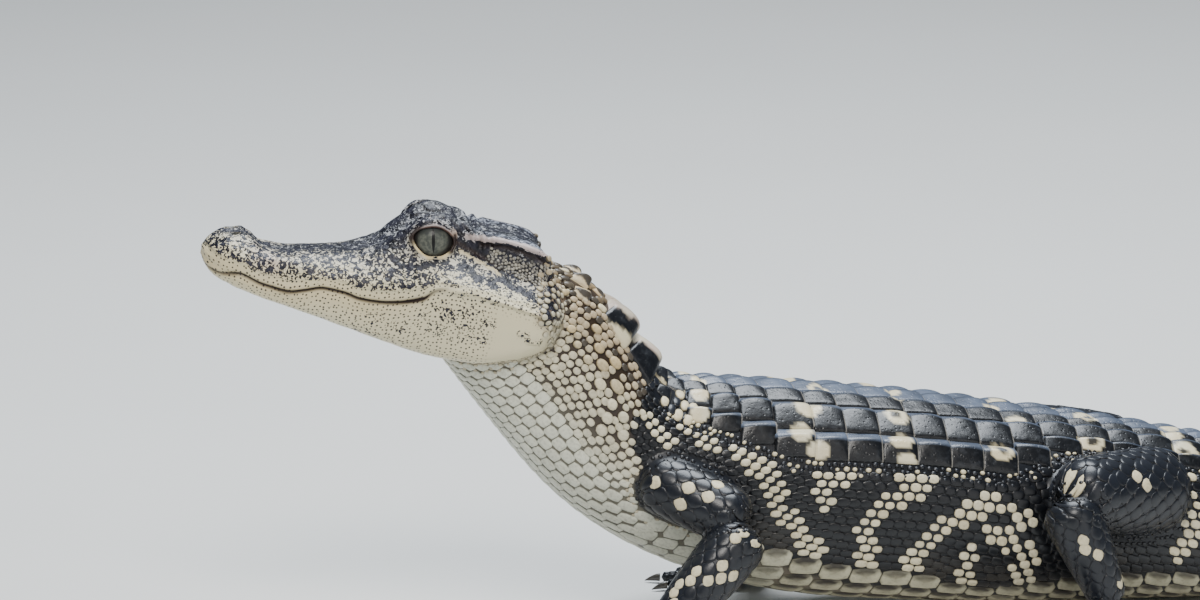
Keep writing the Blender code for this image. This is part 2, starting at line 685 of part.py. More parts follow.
def below_mouth(shift):
    """A block that fills all below the line of the mouth, which runs on to the back of the jaw."""
    back = np.array([-6, 0, 3, 8, 14, 18, 22, 25, 27, 30, 34, 38, 42, 46, 50, 54, 57, 60, 63, 67, 71, 76, 84,
                     95, 108, 130]) * MM
    height = HEAD_LINES["lip"](back) + shift
    deep = -60 * MM
    points = []
    for side in (-50 * MM, 50 * MM):
        points.append(head_place(back, np.full(back.shape, side), height))
        points.append(head_place(back, np.full(back.shape, side), np.full(back.shape, deep)))
    n = len(back)
    points = np.concatenate(points)
    faces = [tuple(range(n)) + tuple(range(2 * n - 1, n - 1, -1))]
    faces.append(tuple(range(2 * n, 3 * n)) + tuple(range(4 * n - 1, 3 * n - 1, -1)))
    for i in range(n - 1):
        faces.append((i, i + 1, 2 * n + i + 1, 2 * n + i))
        faces.append((n + i, n + i + 1, 3 * n + i + 1, 3 * n + i))
    faces += [(0, n, 3 * n, 2 * n), (n - 1, 2 * n - 1, 4 * n - 1, 3 * n - 1)]
    return solid("below_mouth", points, faces)


def ear_groove(side):
    """The slit under the edge of the skull table that covers the ear."""
    back = np.array(EAR_BACK) * MM
    out, rise = head_curve(back, np.array([EAR_CORNER]))
    thick = EAR_GROOVE_RADIUS * np.array([0.4, 1.0, 1.3, 1.4, 1.2, 0.9, 0.4])
    return tube("ear_groove", head_place(back, side * out[:, 0], rise[:, 0]), thick, 5)


def make_head():
    """The skull with its upper jaw, and the lower jaw, parted along the line of the mouth."""
    head = head_block()
    head.name = "head"
    head.data.materials.append(SKIN_HEAD)
    combine(head, "UNION", [eye_part("lids", side, [EYE_RADIUS + LID_THICK] * 3) for side in (-1, 1)])
    cuts = []
    for side in (-1, 1):
        out, window = EYE_WINDOW
        cuts.append(eye_part("window", side, np.array(window) * MM, out))
        cuts.append(eye_part("socket", side, [EYE_RADIUS + GAP] * 3))
        hole = (NOSTRIL[0] * MM, side * NOSTRIL[1] * MM, NOSTRIL[2] * MM)
        cuts.append(ball("nostril", hole, [2.1 * MM, 1.3 * MM, 1.7 * MM], 4, 8))
        cuts.append(ear_groove(side))
    combine(head, "DIFFERENCE", cuts)
    jaw = head.copy()
    jaw.data = head.data.copy()
    jaw.name = "lower_jaw"
    bpy.context.scene.collection.objects.link(jaw)
    combine(head, "DIFFERENCE", [below_mouth(GAP / 2)])
    combine(jaw, "INTERSECT", [below_mouth(-GAP / 2)])
    jaw.data.materials.clear()
    jaw.data.materials.append(SKIN_PALE)
    keep_largest(head)
    keep_largest(jaw)
    for side, name in ((1, "eye_left"), (-1, "eye_right")):
        eye_part(name, side, [EYE_RADIUS] * 3, finish=EYE_GREY)


def lobe(name, rows, finish=None, grow=0.0, around=12, rings=4, root_round=True, tip_round=True):
    """A rounded limb piece along a path. rows hold x, y, z, half width and half height, in millimetres.

    Each end is quarter-round, or cut flat: inside another piece, or where a claw meets it.
    """
    path = Path(rows)
    caps = path.at(np.array([0.0, path.length]))[:, 3:].mean(axis=1) * 0.8 * (root_round, tip_round)
    turn = np.radians([24, 58])
    s, shrink = np.linspace(caps[0], path.length - caps[1], rings), np.ones(rings)
    if root_round:
        s, shrink = np.append(caps[0] * (1 - np.cos(turn)), s), np.append(np.sin(turn), shrink)
    if tip_round:
        turn = turn[::-1]
        s = np.append(s, path.length - caps[1] * (1 - np.cos(turn)))
        shrink = np.append(shrink, np.sin(turn))
    centre, _, left, up, size = path.frame(s)
    turn = np.linspace(0, 2 * math.pi, around, endpoint=False)
    wide = (size[:, 0] * shrink)[:, None, None]
    high = (size[:, 1] * shrink)[:, None, None]
    side = left[:, None] * np.sin(turn)[:, None] * wide
    grid = centre[:, None] + side + up[:, None] * np.cos(turn)[:, None] * high
    grid = swollen(grid, grow) if grow else on_floor(grid)
    return stack(name, grid, finish, blunt_start=not root_round, blunt_end=not tip_round)


# Joints of each leg as x, y, z, for the left side (-y); the right legs stand a little differently.
LEGS = {
    "foreleg_left": {"side": -1, "root": (-22, 22, 59), "bend": (9, 45, 45), "end": (-24, 51, 11),
                     "heading": 26},
    "foreleg_right": {"side": 1, "root": (-8, 22, 55), "bend": (31, 40, 50), "end": (36, 43, 11),
                      "heading": 20},
    "hindleg_left": {"side": -1, "root": (162, 20, 42), "bend": (115, 50, 50), "end": (131, 54, 12),
                     "heading": 34},
    "hindleg_right": {"side": 1, "root": (162, 20, 41), "bend": (124, 52, 46), "end": (146, 56, 12),
                      "heading": 30},
}
# Half widths of the upper and lower leg at their start, middle and end, and the foot's plan.
FORE = {"upper": (11.0, 10.6, 9.8), "lower": (10.2, 10.0, 6.8), "palm": (17, 8.4, 4.8),
        "toes": ((-46, 12, 1.8), (-22, 16, 1.95), (2, 17, 1.95), (26, 15.5, 1.8), (52, 12.5, 1.6)), "web": 0.35}
HIND = {"upper": (15.5, 14.5, 11.6), "lower": (10.8, 9.6, 6.8), "palm": (27, 9.2, 5.0),
        "toes": ((-24, 17, 2.1), (-8, 23, 2.3), (9, 24, 2.2), (28, 19, 1.9)), "web": 0.6}
CLAWED = 3
BULGE = 1.5
CLAW_LENGTH = 5.2
WEB_RISE = (1.6, 0.2, 0.0, 0.2, 1.6)
WEB_PAST = 0.5


def leg_point(leg, place):
    return np.array([place[0], place[1] * leg["side"], place[2]], float)


def between(a, b, share):
    return a + (b - a) * share


def foot_plan(leg, form):
    """Ankle, ball of the foot and each toe as its root, heading, length and radius, on the floor.

    The roots stand in a row across the ball of the foot, which is turned outwards from straight ahead.
    """
    ankle = leg_point(leg, leg["end"])
    turn = math.radians(leg["heading"])
    ahead = np.array([-math.cos(turn), leg["side"] * math.sin(turn), 0.0])
    outwards = np.array([math.sin(turn), leg["side"] * math.cos(turn), 0.0])
    ball_of_foot = ankle + ahead * form["palm"][0]
    ball_of_foot[2] = form["palm"][2] - 0.3
    toes = []
    count = len(form["toes"])
    for i, (spread, length, radius) in enumerate(form["toes"]):
        angle = turn + math.radians(spread)
        heading = np.array([-math.cos(angle), leg["side"] * math.sin(angle), 0.0])
        across = (2 * i / (count - 1) - 1) * 0.72 * form["palm"][1]
        root = ball_of_foot + outwards * across - ahead * abs(across) * 0.35
        toes.append((root, heading, length, radius))
    return ankle, ball_of_foot, toes


def toe_rows(root, heading, length, radius, knuckle):
    """A toe's path: out of the foot, up over a low knuckle and down to its tip on the floor."""
    rows = []
    for share, rise, thick in ((-0.1, 1.0, 1.35), (0.45, knuckle, 1.1), (1.0, 0.55, 0.8)):
        place = root + heading * length * share
        place[2] = radius * (0.72 + 0.55 * rise)
        rows.append((*place, radius * thick, radius * thick))
    return rows


def web_between(first, second, share):
    """A thin web of skin between two toes, out to a share of the shorter toe and a little past both."""
    reach = min(first[2], second[2]) * share
    a, b = first[0] + first[1] * reach, second[0] + second[1] * reach
    past = unit(second[0] - first[0]) * WEB_PAST
    near_a, near_b = first[0] - first[1] * 2.0 - past, second[0] - second[1] * 2.0 + past
    a, b = a - past, b + past
    mid = between(a, b, 0.5) - unit(first[1] + second[1]) * reach * 0.16
    low, thick = 0.8, 1.5
    places = (near_a, a, mid, b, near_b)
    points = [(*p[:2], low) for p in places] + [(*p[:2], low + thick + m) for p, m in zip(places, WEB_RISE)]
    n = len(places)
    faces = [tuple(range(n)), tuple(range(2 * n - 1, n - 1, -1))]
    faces += [(i, i + n, (i + 1) % n + n, (i + 1) % n) for i in range(n)]
    return solid("web", np.array(points) * MM, faces)


def make_claw(name, tip, direction, radius):
    """A claw: a horn cone that starts just clear of its toe and curves down to a blunt point."""
    places = []
    for share, drop, thick in ((0.0, 0.0, 0.88), (0.5, 0.05, 0.7), (1.0, 0.8, 0.18)):
        place = tip + direction * (GAP / MM + CLAW_LENGTH * share)
        place[2] = tip[2] - drop * (tip[2] - 0.5)
        places.append((*place, radius * thick))
    places = np.array(places)
    side = unit(np.cross(direction, (0.0, 0.0, 1.0)))
    turn = np.linspace(0, 2 * math.pi, 6, endpoint=False)
    rings = []
    for x, y, z, thick in places:
        circle = side * np.cos(turn)[:, None] * thick * 0.85
        circle = circle + np.array([0.0, 0.0, 1.0]) * np.sin(turn)[:, None] * thick
        rings.append(np.array([x, y, z]) + circle)
    return stack(name, on_floor(np.array(rings) * MM), CLAW_HORN, blunt_start=True, blunt_end=True)


def body_block(grow):
    """The body from neck to tail root on the trunk's own rings, swollen, to cut what grows out of it."""
    trunk = np.linspace(NECK_END + GAP / 2, TORSO_END - GAP / 2, TORSO_RINGS)
    step = trunk[1] - trunk[0]
    s = np.concatenate([trunk[0] + step * np.arange(-7, 0), trunk, trunk[-1] + step * np.arange(1, 8)])
    share = np.linspace(-1, 1, TORSO_AROUND, endpoint=False)
    return stack("body_block", swollen(body_point(s[:, None] + 0 * share, share + 0 * s[:, None]), grow))


def leg_form(name):
    return FORE if name.startswith("fore") else HIND


def upper_rows(name):
    """The path of the upper arm or thigh, from inside the body to the elbow or knee."""
    leg, thick = LEGS[name], leg_form(name)["upper"]
    root, bend = leg_point(leg, leg["root"]), leg_point(leg, leg["bend"])
    middle = between(root, bend, 0.5) + np.array([0.0, leg["side"] * BULGE, 0.0])
    return [(*root, thick[0], thick[0]), (*middle, thick[1], thick[1]), (*bend, thick[2], thick[2])]


def lower_rows(name):
    """The path of the forearm or shin, from the elbow or knee to the ankle."""
    leg, thin = LEGS[name], leg_form(name)["lower"]
    bend, end = leg_point(leg, leg["bend"]), leg_point(leg, leg["end"])
    middle = between(bend, end, 0.4) + np.array([0.0, leg["side"] * BULGE, 0.0])
    return [(*bend, thin[0], thin[0]), (*middle, thin[1], thin[1]), (*end, thin[2], thin[2] * 0.9)]


def make_leg(name):
    """One leg: upper and lower lobes and a foot with its toes, webs and claws."""
    leg, form = LEGS[name], leg_form(name)
    upper = lobe(name + "_upper", upper_rows(name), SKIN_DARK)
    combine(upper, "DIFFERENCE", [body_block(GAP * 1.2)])
    keep_largest(upper)
    lower = lobe(name + "_lower", lower_rows(name), SKIN_DARK)
    combine(lower, "DIFFERENCE", [lobe("cut", upper_rows(name), grow=GAP * 1.2), body_block(GAP * 1.2)])
    keep_largest(lower)
    ankle, ball_of_foot, toes = foot_plan(leg, form)
    _, wide, high = form["palm"]
    heel = ankle + (ankle - ball_of_foot) * 0.2
    heel[2] = ankle[2] - 1.5
    mid = between(heel, ball_of_foot, 0.5)
    mid[2] = high * 1.25
    palm_rows = [(*heel, wide * 0.8, high * 1.25), (*mid, wide * 0.88, high), (*ball_of_foot, wide, high * 0.7)]
    foot = lobe(name + "_foot", palm_rows, SKIN_DARK, rings=4)
    pieces = []
    for i, (root_of_toe, heading, length, radius) in enumerate(toes):
        rows = toe_rows(root_of_toe, heading, length, radius, 1.0 + 0.15 * (i % 3))
        pieces.append(lobe("toe", rows, around=6, rings=3, root_round=False, tip_round=i >= CLAWED))
        if i < CLAWED:
            tip = np.array(rows[-1][:3])
            make_claw(f"{name}_claw_{i + 1}", tip, heading, radius * 0.8)
        if i:
            pieces.append(web_between(toes[i - 1], toes[i], form["web"]))
    combine(foot, "UNION", pieces)
    combine(foot, "DIFFERENCE", [lobe("cut", lower_rows(name), grow=GAP * 1.2)])
    keep_largest(foot)


def centre_on_origin():
    """Moves every mesh so that the middle of the model's box stands over the origin."""
    shown = [o for o in bpy.data.objects if o.type == "MESH"]
    corners = np.concatenate([np.array([tuple(v.co) for v in o.data.vertices]) for o in shown])
    low, high = corners.min(axis=0), corners.max(axis=0)
    shift = np.array([-(low[0] + high[0]) / 2, -(low[1] + high[1]) / 2, -low[2]])
    print("shift in mm", shift / MM, "size in mm", (high - low) / MM)
    for o in shown:
        places = np.array([tuple(v.co) for v in o.data.vertices]) + shift
        o.data.vertices.foreach_set("co", places.astype(np.float32).ravel())
        o.data.update()
        o.data.shade_smooth()


def main():
    for old in list(bpy.data.objects):
        bpy.data.objects.remove(old)
    make_head()
    make_neck()
    make_torso()
    make_tail()
    for name in LEGS:
        make_leg(name)
    centre_on_origin()


main()
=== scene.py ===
"""The looks of a young American alligator: one skin with lids, raised scales and plates, eyes and claws.

Shapes are worked out in the design frame, in millimetres: head towards -X, left side towards -Y, floor at
z = 0. make_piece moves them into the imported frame, in metres. A place on the skin is a length s along a
part and a distance v round it from the midline of its upper side, positive towards the left.
"""

import itertools
import math

import bpy
import numpy as np
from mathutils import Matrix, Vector
from mathutils.bvhtree import BVHTree


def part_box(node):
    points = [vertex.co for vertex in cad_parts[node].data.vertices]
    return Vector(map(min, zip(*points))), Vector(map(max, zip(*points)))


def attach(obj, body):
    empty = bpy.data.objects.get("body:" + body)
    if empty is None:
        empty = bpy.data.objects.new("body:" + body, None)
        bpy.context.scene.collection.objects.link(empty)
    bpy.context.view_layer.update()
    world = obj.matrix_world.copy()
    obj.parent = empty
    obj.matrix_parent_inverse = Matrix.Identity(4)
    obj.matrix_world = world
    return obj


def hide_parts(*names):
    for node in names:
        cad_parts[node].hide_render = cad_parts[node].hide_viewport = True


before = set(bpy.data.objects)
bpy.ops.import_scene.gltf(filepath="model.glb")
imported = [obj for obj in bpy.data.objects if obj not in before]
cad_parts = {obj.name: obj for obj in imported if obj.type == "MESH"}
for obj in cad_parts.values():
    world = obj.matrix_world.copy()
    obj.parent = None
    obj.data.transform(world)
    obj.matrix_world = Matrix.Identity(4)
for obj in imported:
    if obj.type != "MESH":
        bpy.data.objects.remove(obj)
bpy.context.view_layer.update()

MM = 0.001
# The coat's height, how far plates and scales reach into the skin, and how far all stays off the floor.
COAT, PLATE_ROOT, SCALE_ROOT, FLOOR_CLEAR = 0.9, 0.9, 0.55, 0.02
# Steps along the sheets of body and head, their columns, and a distance beyond all that is measured.
BODY_STEP, HEAD_STEP, SHEET_COLUMNS, FAR = 1.0, 0.5, 161, 99.0

# Spine stations: x, y, z of the centre line, half width, height above it, depth below it, superellipse power.
STATIONS = (
    (-72, -2.0, 119.0, 19.0, 19.0, 24.0, 2.1),
    (-58, -1.5, 103.0, 22.5, 28.5, 26.0, 2.1),
    (-44, -1.0, 87.0, 25.0, 28.5, 27.5, 2.1),
    (-26, 0.0, 69.0, 28.5, 24.2, 29.5, 2.2),
    (0, 0.0, 55.5, 33.5, 28.5, 33.2, 2.3),
    (36, 0.0, 48.0, 39.0, 31.0, 37.2, 2.4),
    (72, 0.0, 43.0, 42.5, 30.5, 36.6, 2.4),
    (115, 0.0, 37.0, 40.5, 29.0, 34.6, 2.4),
    (155, 0.0, 31.5, 34.0, 26.5, 30.8, 2.4),
    (190, 1.0, 26.5, 27.5, 24.0, 27.6, 2.4),
    (225, 4.0, 23.0, 22.5, 21.5, 24.0, 2.4),
    (280, 13.0, 19.5, 17.0, 19.0, 20.3, 2.4),
    (340, 22.0, 17.0, 12.5, 16.5, 17.7, 2.3),
    (400, 22.0, 14.0, 9.0, 13.5, 14.6, 2.3),
    (460, 10.0, 11.0, 6.4, 10.5, 11.5, 2.2),
    (515, -10.0, 7.6, 4.4, 7.3, 8.0, 2.1),
    (560, -34.0, 4.6, 2.8, 4.4, 4.9, 2.0),
    (590, -54.0, 2.2, 1.4, 2.0, 2.4, 2.0),
)
NECK_START = 2.0
PLATE_PITCH = 10.4
PLATE_SEAMS = (80.5, 91, 103, 116, 130, 141, 153, 165, 176.5, 188, 200, 212, 225, 237, 248, 260, 271, 280,
               289)
TAIL_START = 288.0

SNOUT_TIP = (-163.2, 10.4, 135.9)
HEAD_PITCH, HEAD_TURN = math.radians(12.4), math.radians(-6.0)
HEAD_BACK, HEAD_LENGTH, NOSE_CAP = 112.0, 121.0, 12.0
EYE, EYE_RADIUS = (72.5, 11.5, 19.2), 7.1
NOSTRIL = (8.5, 4.4, 8.2)

# Base colours, as linear red, green and blue.
BLACK = np.array((0.010, 0.012, 0.017))
UMBER = np.array((0.050, 0.041, 0.030))
CREAM = np.array((0.63, 0.58, 0.42))
STRAW = np.array((0.60, 0.49, 0.27))
TAN = np.array((0.36, 0.26, 0.14))
THROAT = np.array((0.60, 0.60, 0.49))
BELLY = np.array((0.50, 0.47, 0.33))


def unit(v):
    return v / np.maximum(np.linalg.norm(v, axis=-1, keepdims=True), 1e-12)


def power(x, p):
    return np.sign(x) * np.abs(x) ** p


def ease(x, low, high):
    """0 below low, 1 above high, and a smooth cubic step between."""
    t = np.clip((x - low) / (high - low), 0, 1)
    return t * t * (3 - 2 * t)


def bell(x, width):
    """1 at zero, falling off as the exponential of minus (x / width) squared."""
    return np.exp(-((x / width) ** 2))


def mix(a, b, share):
    """Colours or numbers a and b, mixed by a share for each place."""
    share = np.asarray(share, float)
    if np.ndim(a) or np.ndim(b):
        share = share[..., None]
    return a * (1 - share) + b * share


def grain(points, size, seed=0):
    """Smooth random values from -1 to 1: random corner values of a cubic lattice, mixed between corners."""
    p = np.asarray(points, float) / size
    cell = np.floor(p).astype(np.int64)
    f = p - cell
    f = f * f * (3 - 2 * f)
    total = np.zeros(p.shape[:-1])
    for i in (0, 1):
        for j in (0, 1):
            for k in (0, 1):
                c = cell + (i, j, k)
                mixed = c[..., 0] * 374761393 + c[..., 1] * 668265263
                mixed = mixed + c[..., 2] * 1440662683 + seed * 974634777
                mixed &= 0xFFFFFFFF
                mixed = ((mixed ^ (mixed >> 13)) * 1274126177) & 0xFFFFFFFF
                value = ((mixed ^ (mixed >> 16)) & 0xFFFF) / 32767.5 - 1
                weight = np.prod(np.where((i, j, k), f, 1 - f), axis=-1)
                total += value * weight
    return total


def line(*knots):
    """A smooth curve through (place, value) knots, a cubic between knots, with no overshoot."""
    place = np.array([k[0] for k in knots], float)
    value = np.array([k[1] for k in knots], float)
    slope = np.diff(value) / np.diff(place)
    inner = np.zeros(len(place))
    both = slope[:-1] + slope[1:]
    same = slope[:-1] * slope[1:] > 0
    inner[1:-1] = np.where(same, 2 * slope[:-1] * slope[1:] / np.where(both == 0, 1, both), 0)
    inner[0], inner[-1] = slope[0], slope[-1]

    def read(x):
        x = np.clip(np.asarray(x, float), place[0], place[-1])
        i = np.clip(np.searchsorted(place, x, side="right") - 1, 0, len(place) - 2)
        h = place[i + 1] - place[i]
        t = (x - place[i]) / h
        return (
            value[i] * (1 + 2 * t) * (1 - t) ** 2
            + inner[i] * h * t * (1 - t) ** 2
            + value[i + 1] * t * t * (3 - 2 * t)
            + inner[i + 1] * h * t * t * (t - 1)
        )

    return read


def off_line(x, y, knots):
    """Distance of each place (x, y) from a line of straight runs through knots."""
    best = np.full(np.shape(x), 1e9)
    for (x0, y0), (x1, y1) in zip(knots[:-1], knots[1:]):
        dx, dy = x1 - x0, y1 - y0
        t = np.clip(((x - x0) * dx + (y - y0) * dy) / (dx * dx + dy * dy), 0, 1)
        best = np.minimum(best, np.hypot(x - x0 - t * dx, y - y0 - t * dy))
    return best


class Path:
    """A natural cubic curve through given rows, of which the first three numbers are x, y, z."""

    def __init__(self, rows):
        rows = np.array(rows, float)
        t = np.concatenate([[0], np.cumsum(np.linalg.norm(np.diff(rows[:, :3], axis=0), axis=1))])
        self.t, self.rows = t, rows
        h = np.diff(t)
        a = np.eye(len(t))
        b = np.zeros_like(rows)
        for i in range(1, len(t) - 1):
            a[i, i - 1 : i + 2] = h[i - 1], 2 * (h[i - 1] + h[i]), h[i]
            b[i] = 6 * ((rows[i + 1] - rows[i]) / h[i] - (rows[i] - rows[i - 1]) / h[i - 1])
        self.bend = np.linalg.solve(a, b)
        self.fine = np.linspace(0, t[-1], 1200)
        step = np.linalg.norm(np.diff(self.raw(self.fine)[:, :3], axis=0), axis=1)
        self.run = np.concatenate([[0], np.cumsum(step)])
        self.length = self.run[-1]

    def raw(self, t):
        i = np.clip(np.searchsorted(self.t, t, side="right") - 1, 0, len(self.t) - 2)
        h = (self.t[i + 1] - self.t[i])[..., None]
        u = (t[..., None] - self.t[i][..., None]) / h
        w = 1 - u
        return (
            w * self.rows[i]
            + u * self.rows[i + 1]
            + h * h / 6 * ((w**3 - w) * self.bend[i] + (u**3 - u) * self.bend[i + 1])
        )

    def frame(self, s):
        """Centre, direction along, left side and up at lengths s, and the other columns of the rows."""
        here, ahead, behind = (
            self.raw(np.interp(np.clip(s + step, 0, self.length), self.run, self.fine))
            for step in (0, 0.5, -0.5)
        )
        along = unit(ahead[..., :3] - behind[..., :3])
        left = unit(np.cross(along, (0.0, 0.0, 1.0)))
        return here[..., :3], along, left, np.cross(left, along), here[..., 3:]


class Sheet:
    """A tube of skin as a table of points, from which any place on it is read.

    Rows stand at even steps of length. Columns stand at even shares of the girth, from the belly's
    midline over the right side, the back and the left side to the belly's midline again.
    """

    def __init__(self, start, step, rings):
        self.start, self.step, self.rings = start, step, rings
        self.half = np.linalg.norm(np.diff(rings, axis=1), axis=2).sum(axis=1) / 2
        closed = np.concatenate([rings[:, -2:-1], rings, rings[:, 1:2]], axis=1)
        around = closed[:, 2:] - closed[:, :-2]
        self.normals = -unit(np.cross(np.gradient(rings, axis=0), around))

    def lengths(self):
        return self.start + self.step * np.arange(len(self.rings))

    def half_girth(self, s):
        return np.interp(s, self.lengths(), self.half)

    def at(self, s, v):
        """Point and outward normal at each place, mixed from the four nearest entries of the table."""
        rows, columns = self.rings.shape[:2]
        x = np.clip((s - self.start) / self.step, 0, rows - 1.001)
        y = (v / np.maximum(self.half_girth(s), 0.01) + 1) / 2 * (columns - 1) % (columns - 1)
        i, j = x.astype(int), np.minimum(y.astype(int), columns - 2)
        f, g = (x - i)[..., None], (y - j)[..., None]
        points, normals = (
            (t[i, j] * (1 - g) + t[i, j + 1] * g) * (1 - f)
            + (t[i + 1, j] * (1 - g) + t[i + 1, j + 1] * g) * f
            for t in (self.rings, self.normals)
        )
        return points, unit(normals)

    def sunk(self, depth):
        """The same tube, moved inwards along its normals by a depth."""
        return Sheet(self.start, self.step, self.rings - self.normals * depth)

    def thinned(self, every, columns):
        """Rings for a mesh, every few rows, with the given count of columns and no doubled column."""
        rows = np.unique(np.append(np.arange(0, len(self.rings), every), len(self.rings) - 1))
        pick = np.linspace(0, self.rings.shape[1] - 1, columns + 1)[:-1].astype(int)
        s = self.lengths()[rows]
        share = pick / (self.rings.shape[1] - 1) * 2 - 1
        place = np.stack(np.broadcast_arrays(s[:, None], share[None] * self.half[rows][:, None], 0.0),
                         axis=-1)
        return self.rings[rows][:, pick], place


def even_columns(rings, columns):
    """Rings whose points are spread by even shares of each ring's length, from first to last point."""
    out = np.zeros((len(rings), columns, 3))
    for i, ring in enumerate(rings):
        run = np.concatenate([[0], np.cumsum(np.linalg.norm(np.diff(ring, axis=0), axis=1))])
        want = np.linspace(0, run[-1], columns)
        for axis in range(3):
            out[i, :, axis] = np.interp(want, run, ring[:, axis])
    return out


SPINE = Path(STATIONS)


def body_sheet():
    """The body from the neck to the tail's tip.

    Each cross-section is a superellipse: across = width * sin^(2/n), up = height * cos^(2/n), with one
    height above the centre line and another below it.
    """
    s = np.arange(NECK_START, SPINE.length, BODY_STEP)
    angle = np.linspace(-math.pi, math.pi, 321)
    centre, _, left, up, size = SPINE.frame(s)
    width, above, below, n = (size[:, i, None] for i in range(4))
    side, rise = np.sin(angle)[None], np.cos(angle)[None]
    across = width * power(side, 2 / n)
    upright = np.where(rise > 0, above, below) * power(rise, 2 / n)
    rings = centre[:, None] + left[:, None] * across[..., None] + up[:, None] * upright[..., None]
    return Sheet(NECK_START, BODY_STEP, even_columns(rings, SHEET_COLUMNS))


HEAD_LINES = {
    "top": line((2, 3.4), (6, 6.2), (11, 7.8), (15, 6.8), (19, 5.0), (26, 4.8), (34, 6.6), (46, 9.0),
                (56, 12.4), (64, 17.0), (70, 20.6), (78, 22.8), (86, 23.8), (100, 24.0), (106, 22.8),
                (109.5, 20.4), (113, 15.0), (118, 8.0)),
    "edge_w": line((2, 3.5), (11, 5.2), (18, 7.5), (34, 8.6), (50, 9.0), (62, 9.2), (70, 9.9), (78, 11.0),
                   (86, 13.8), (100, 15.5), (112, 16.0), (118, 14.4)),
    "edge_h": line((2, 3.2), (6, 6.6), (11, 8.6), (15, 7.4), (19, 5.2), (26, 4.6), (34, 6.0), (46, 8.8),
                   (56, 13.8), (63, 20.6), (69, 26.4), (74, 28.2), (80, 27.0), (86, 24.6), (100, 23.6),
                   (107, 23.0), (110.5, 21.2), (114, 14.0), (118, 8.0)),
    "under_w": line((2, 6.0), (9, 10.8), (20, 12.6), (34, 13.6), (50, 14.8), (62, 15.6), (73, 15.9),
                    (84, 15.8), (100, 16.6), (112, 18.6), (118, 19.0)),
    "under_h": line((2, 1.5), (9, 5.0), (20, 3.4), (34, 3.6), (50, 6.4), (62, 11.0), (73, 17.0),
                    (84, 17.0), (100, 16.0), (112, 13.6), (118, 12.0)),
    "cheek_w": line((2, 7.5), (9, 13.0), (16, 14.8), (24, 14.6), (30, 15.2), (42, 17.0), (56, 20.0),
                    (70, 23.6), (84, 26.8), (98, 29.2), (110, 30.4), (118, 29.0)),
    "cheek_h": line((2, -1.0), (9, 0.4), (20, -1.2), (30, -1.8), (42, 1.2), (56, 2.4), (70, 6.2), (84, 8.2),
                    (98, 7.0), (110, 5.4), (118, 4.0)),
    "lip": line((-10, -4.3), (3, -4.3), (11, -3.9), (21, -6.0), (28, -6.4), (34, -4.9), (40, -3.1),
                (46, -3.0), (52, -3.7), (58, -3.2), (64, -1.8), (71, 1.2), (76, 3.8), (90, 4.6), (105, 3.4),
                (118, 1.0), (140, -1.0)),
    "jaw_w": line((2, 6.4), (9, 11.2), (20, 13.4), (34, 15.0), (50, 17.6), (64, 21.2), (78, 25.2),
                  (92, 28.4), (106, 30.2), (118, 29.0)),
    "jaw_h": line((2, -5.0), (9, -6.2), (20, -7.6), (34, -7.6), (50, -6.8), (64, -6.0), (78, -4.8),
                  (92, -4.8), (106, -4.2), (118, -3.0)),
    "chin_w": line((2, 4.0), (9, 8.0), (20, 10.2), (34, 11.8), (50, 13.8), (64, 16.8), (78, 20.2),
                   (92, 23.0), (106, 24.0), (118, 22.0)),
    "chin_h": line((2, -5.6), (9, -8.2), (20, -10.4), (34, -12.2), (50, -14.4), (64, -16.2), (78, -17.4),
                   (92, -16.8), (106, -12.8), (118, -7.0)),
    "bottom": line((2, -6.0), (9, -8.6), (20, -10.8), (34, -12.6), (50, -14.8), (64, -16.2), (78, -16.8),
                   (92, -15.4), (106, -11.6), (118, -7.0)),
}


def head_axes():
    """The head's own directions: forward along the snout, to its left, and up."""
    forward = np.array([
        -math.cos(HEAD_PITCH) * math.cos(HEAD_TURN),
        -math.cos(HEAD_PITCH) * math.sin(HEAD_TURN),
        math.sin(HEAD_PITCH),
    ])
    left = unit(np.cross((0.0, 0.0, 1.0), forward))
    return forward, left, np.cross(forward, left)


def head_place(back, sideways, upwards):
    """A point of the head's own frame, put in place in the model."""
    forward, left, up = head_axes()
    back, sideways, upwards = (np.asarray(x, float)[..., None] for x in (back, sideways, upwards))
    return np.array(SNOUT_TIP) - forward * back + left * sideways + up * upwards


def head_frame(points):
    """The head's own back, sideways and upwards distances of points of the model."""
    forward, left, up = head_axes()
    away = points - np.array(SNOUT_TIP)
    return -(away @ forward), away @ left, away @ up


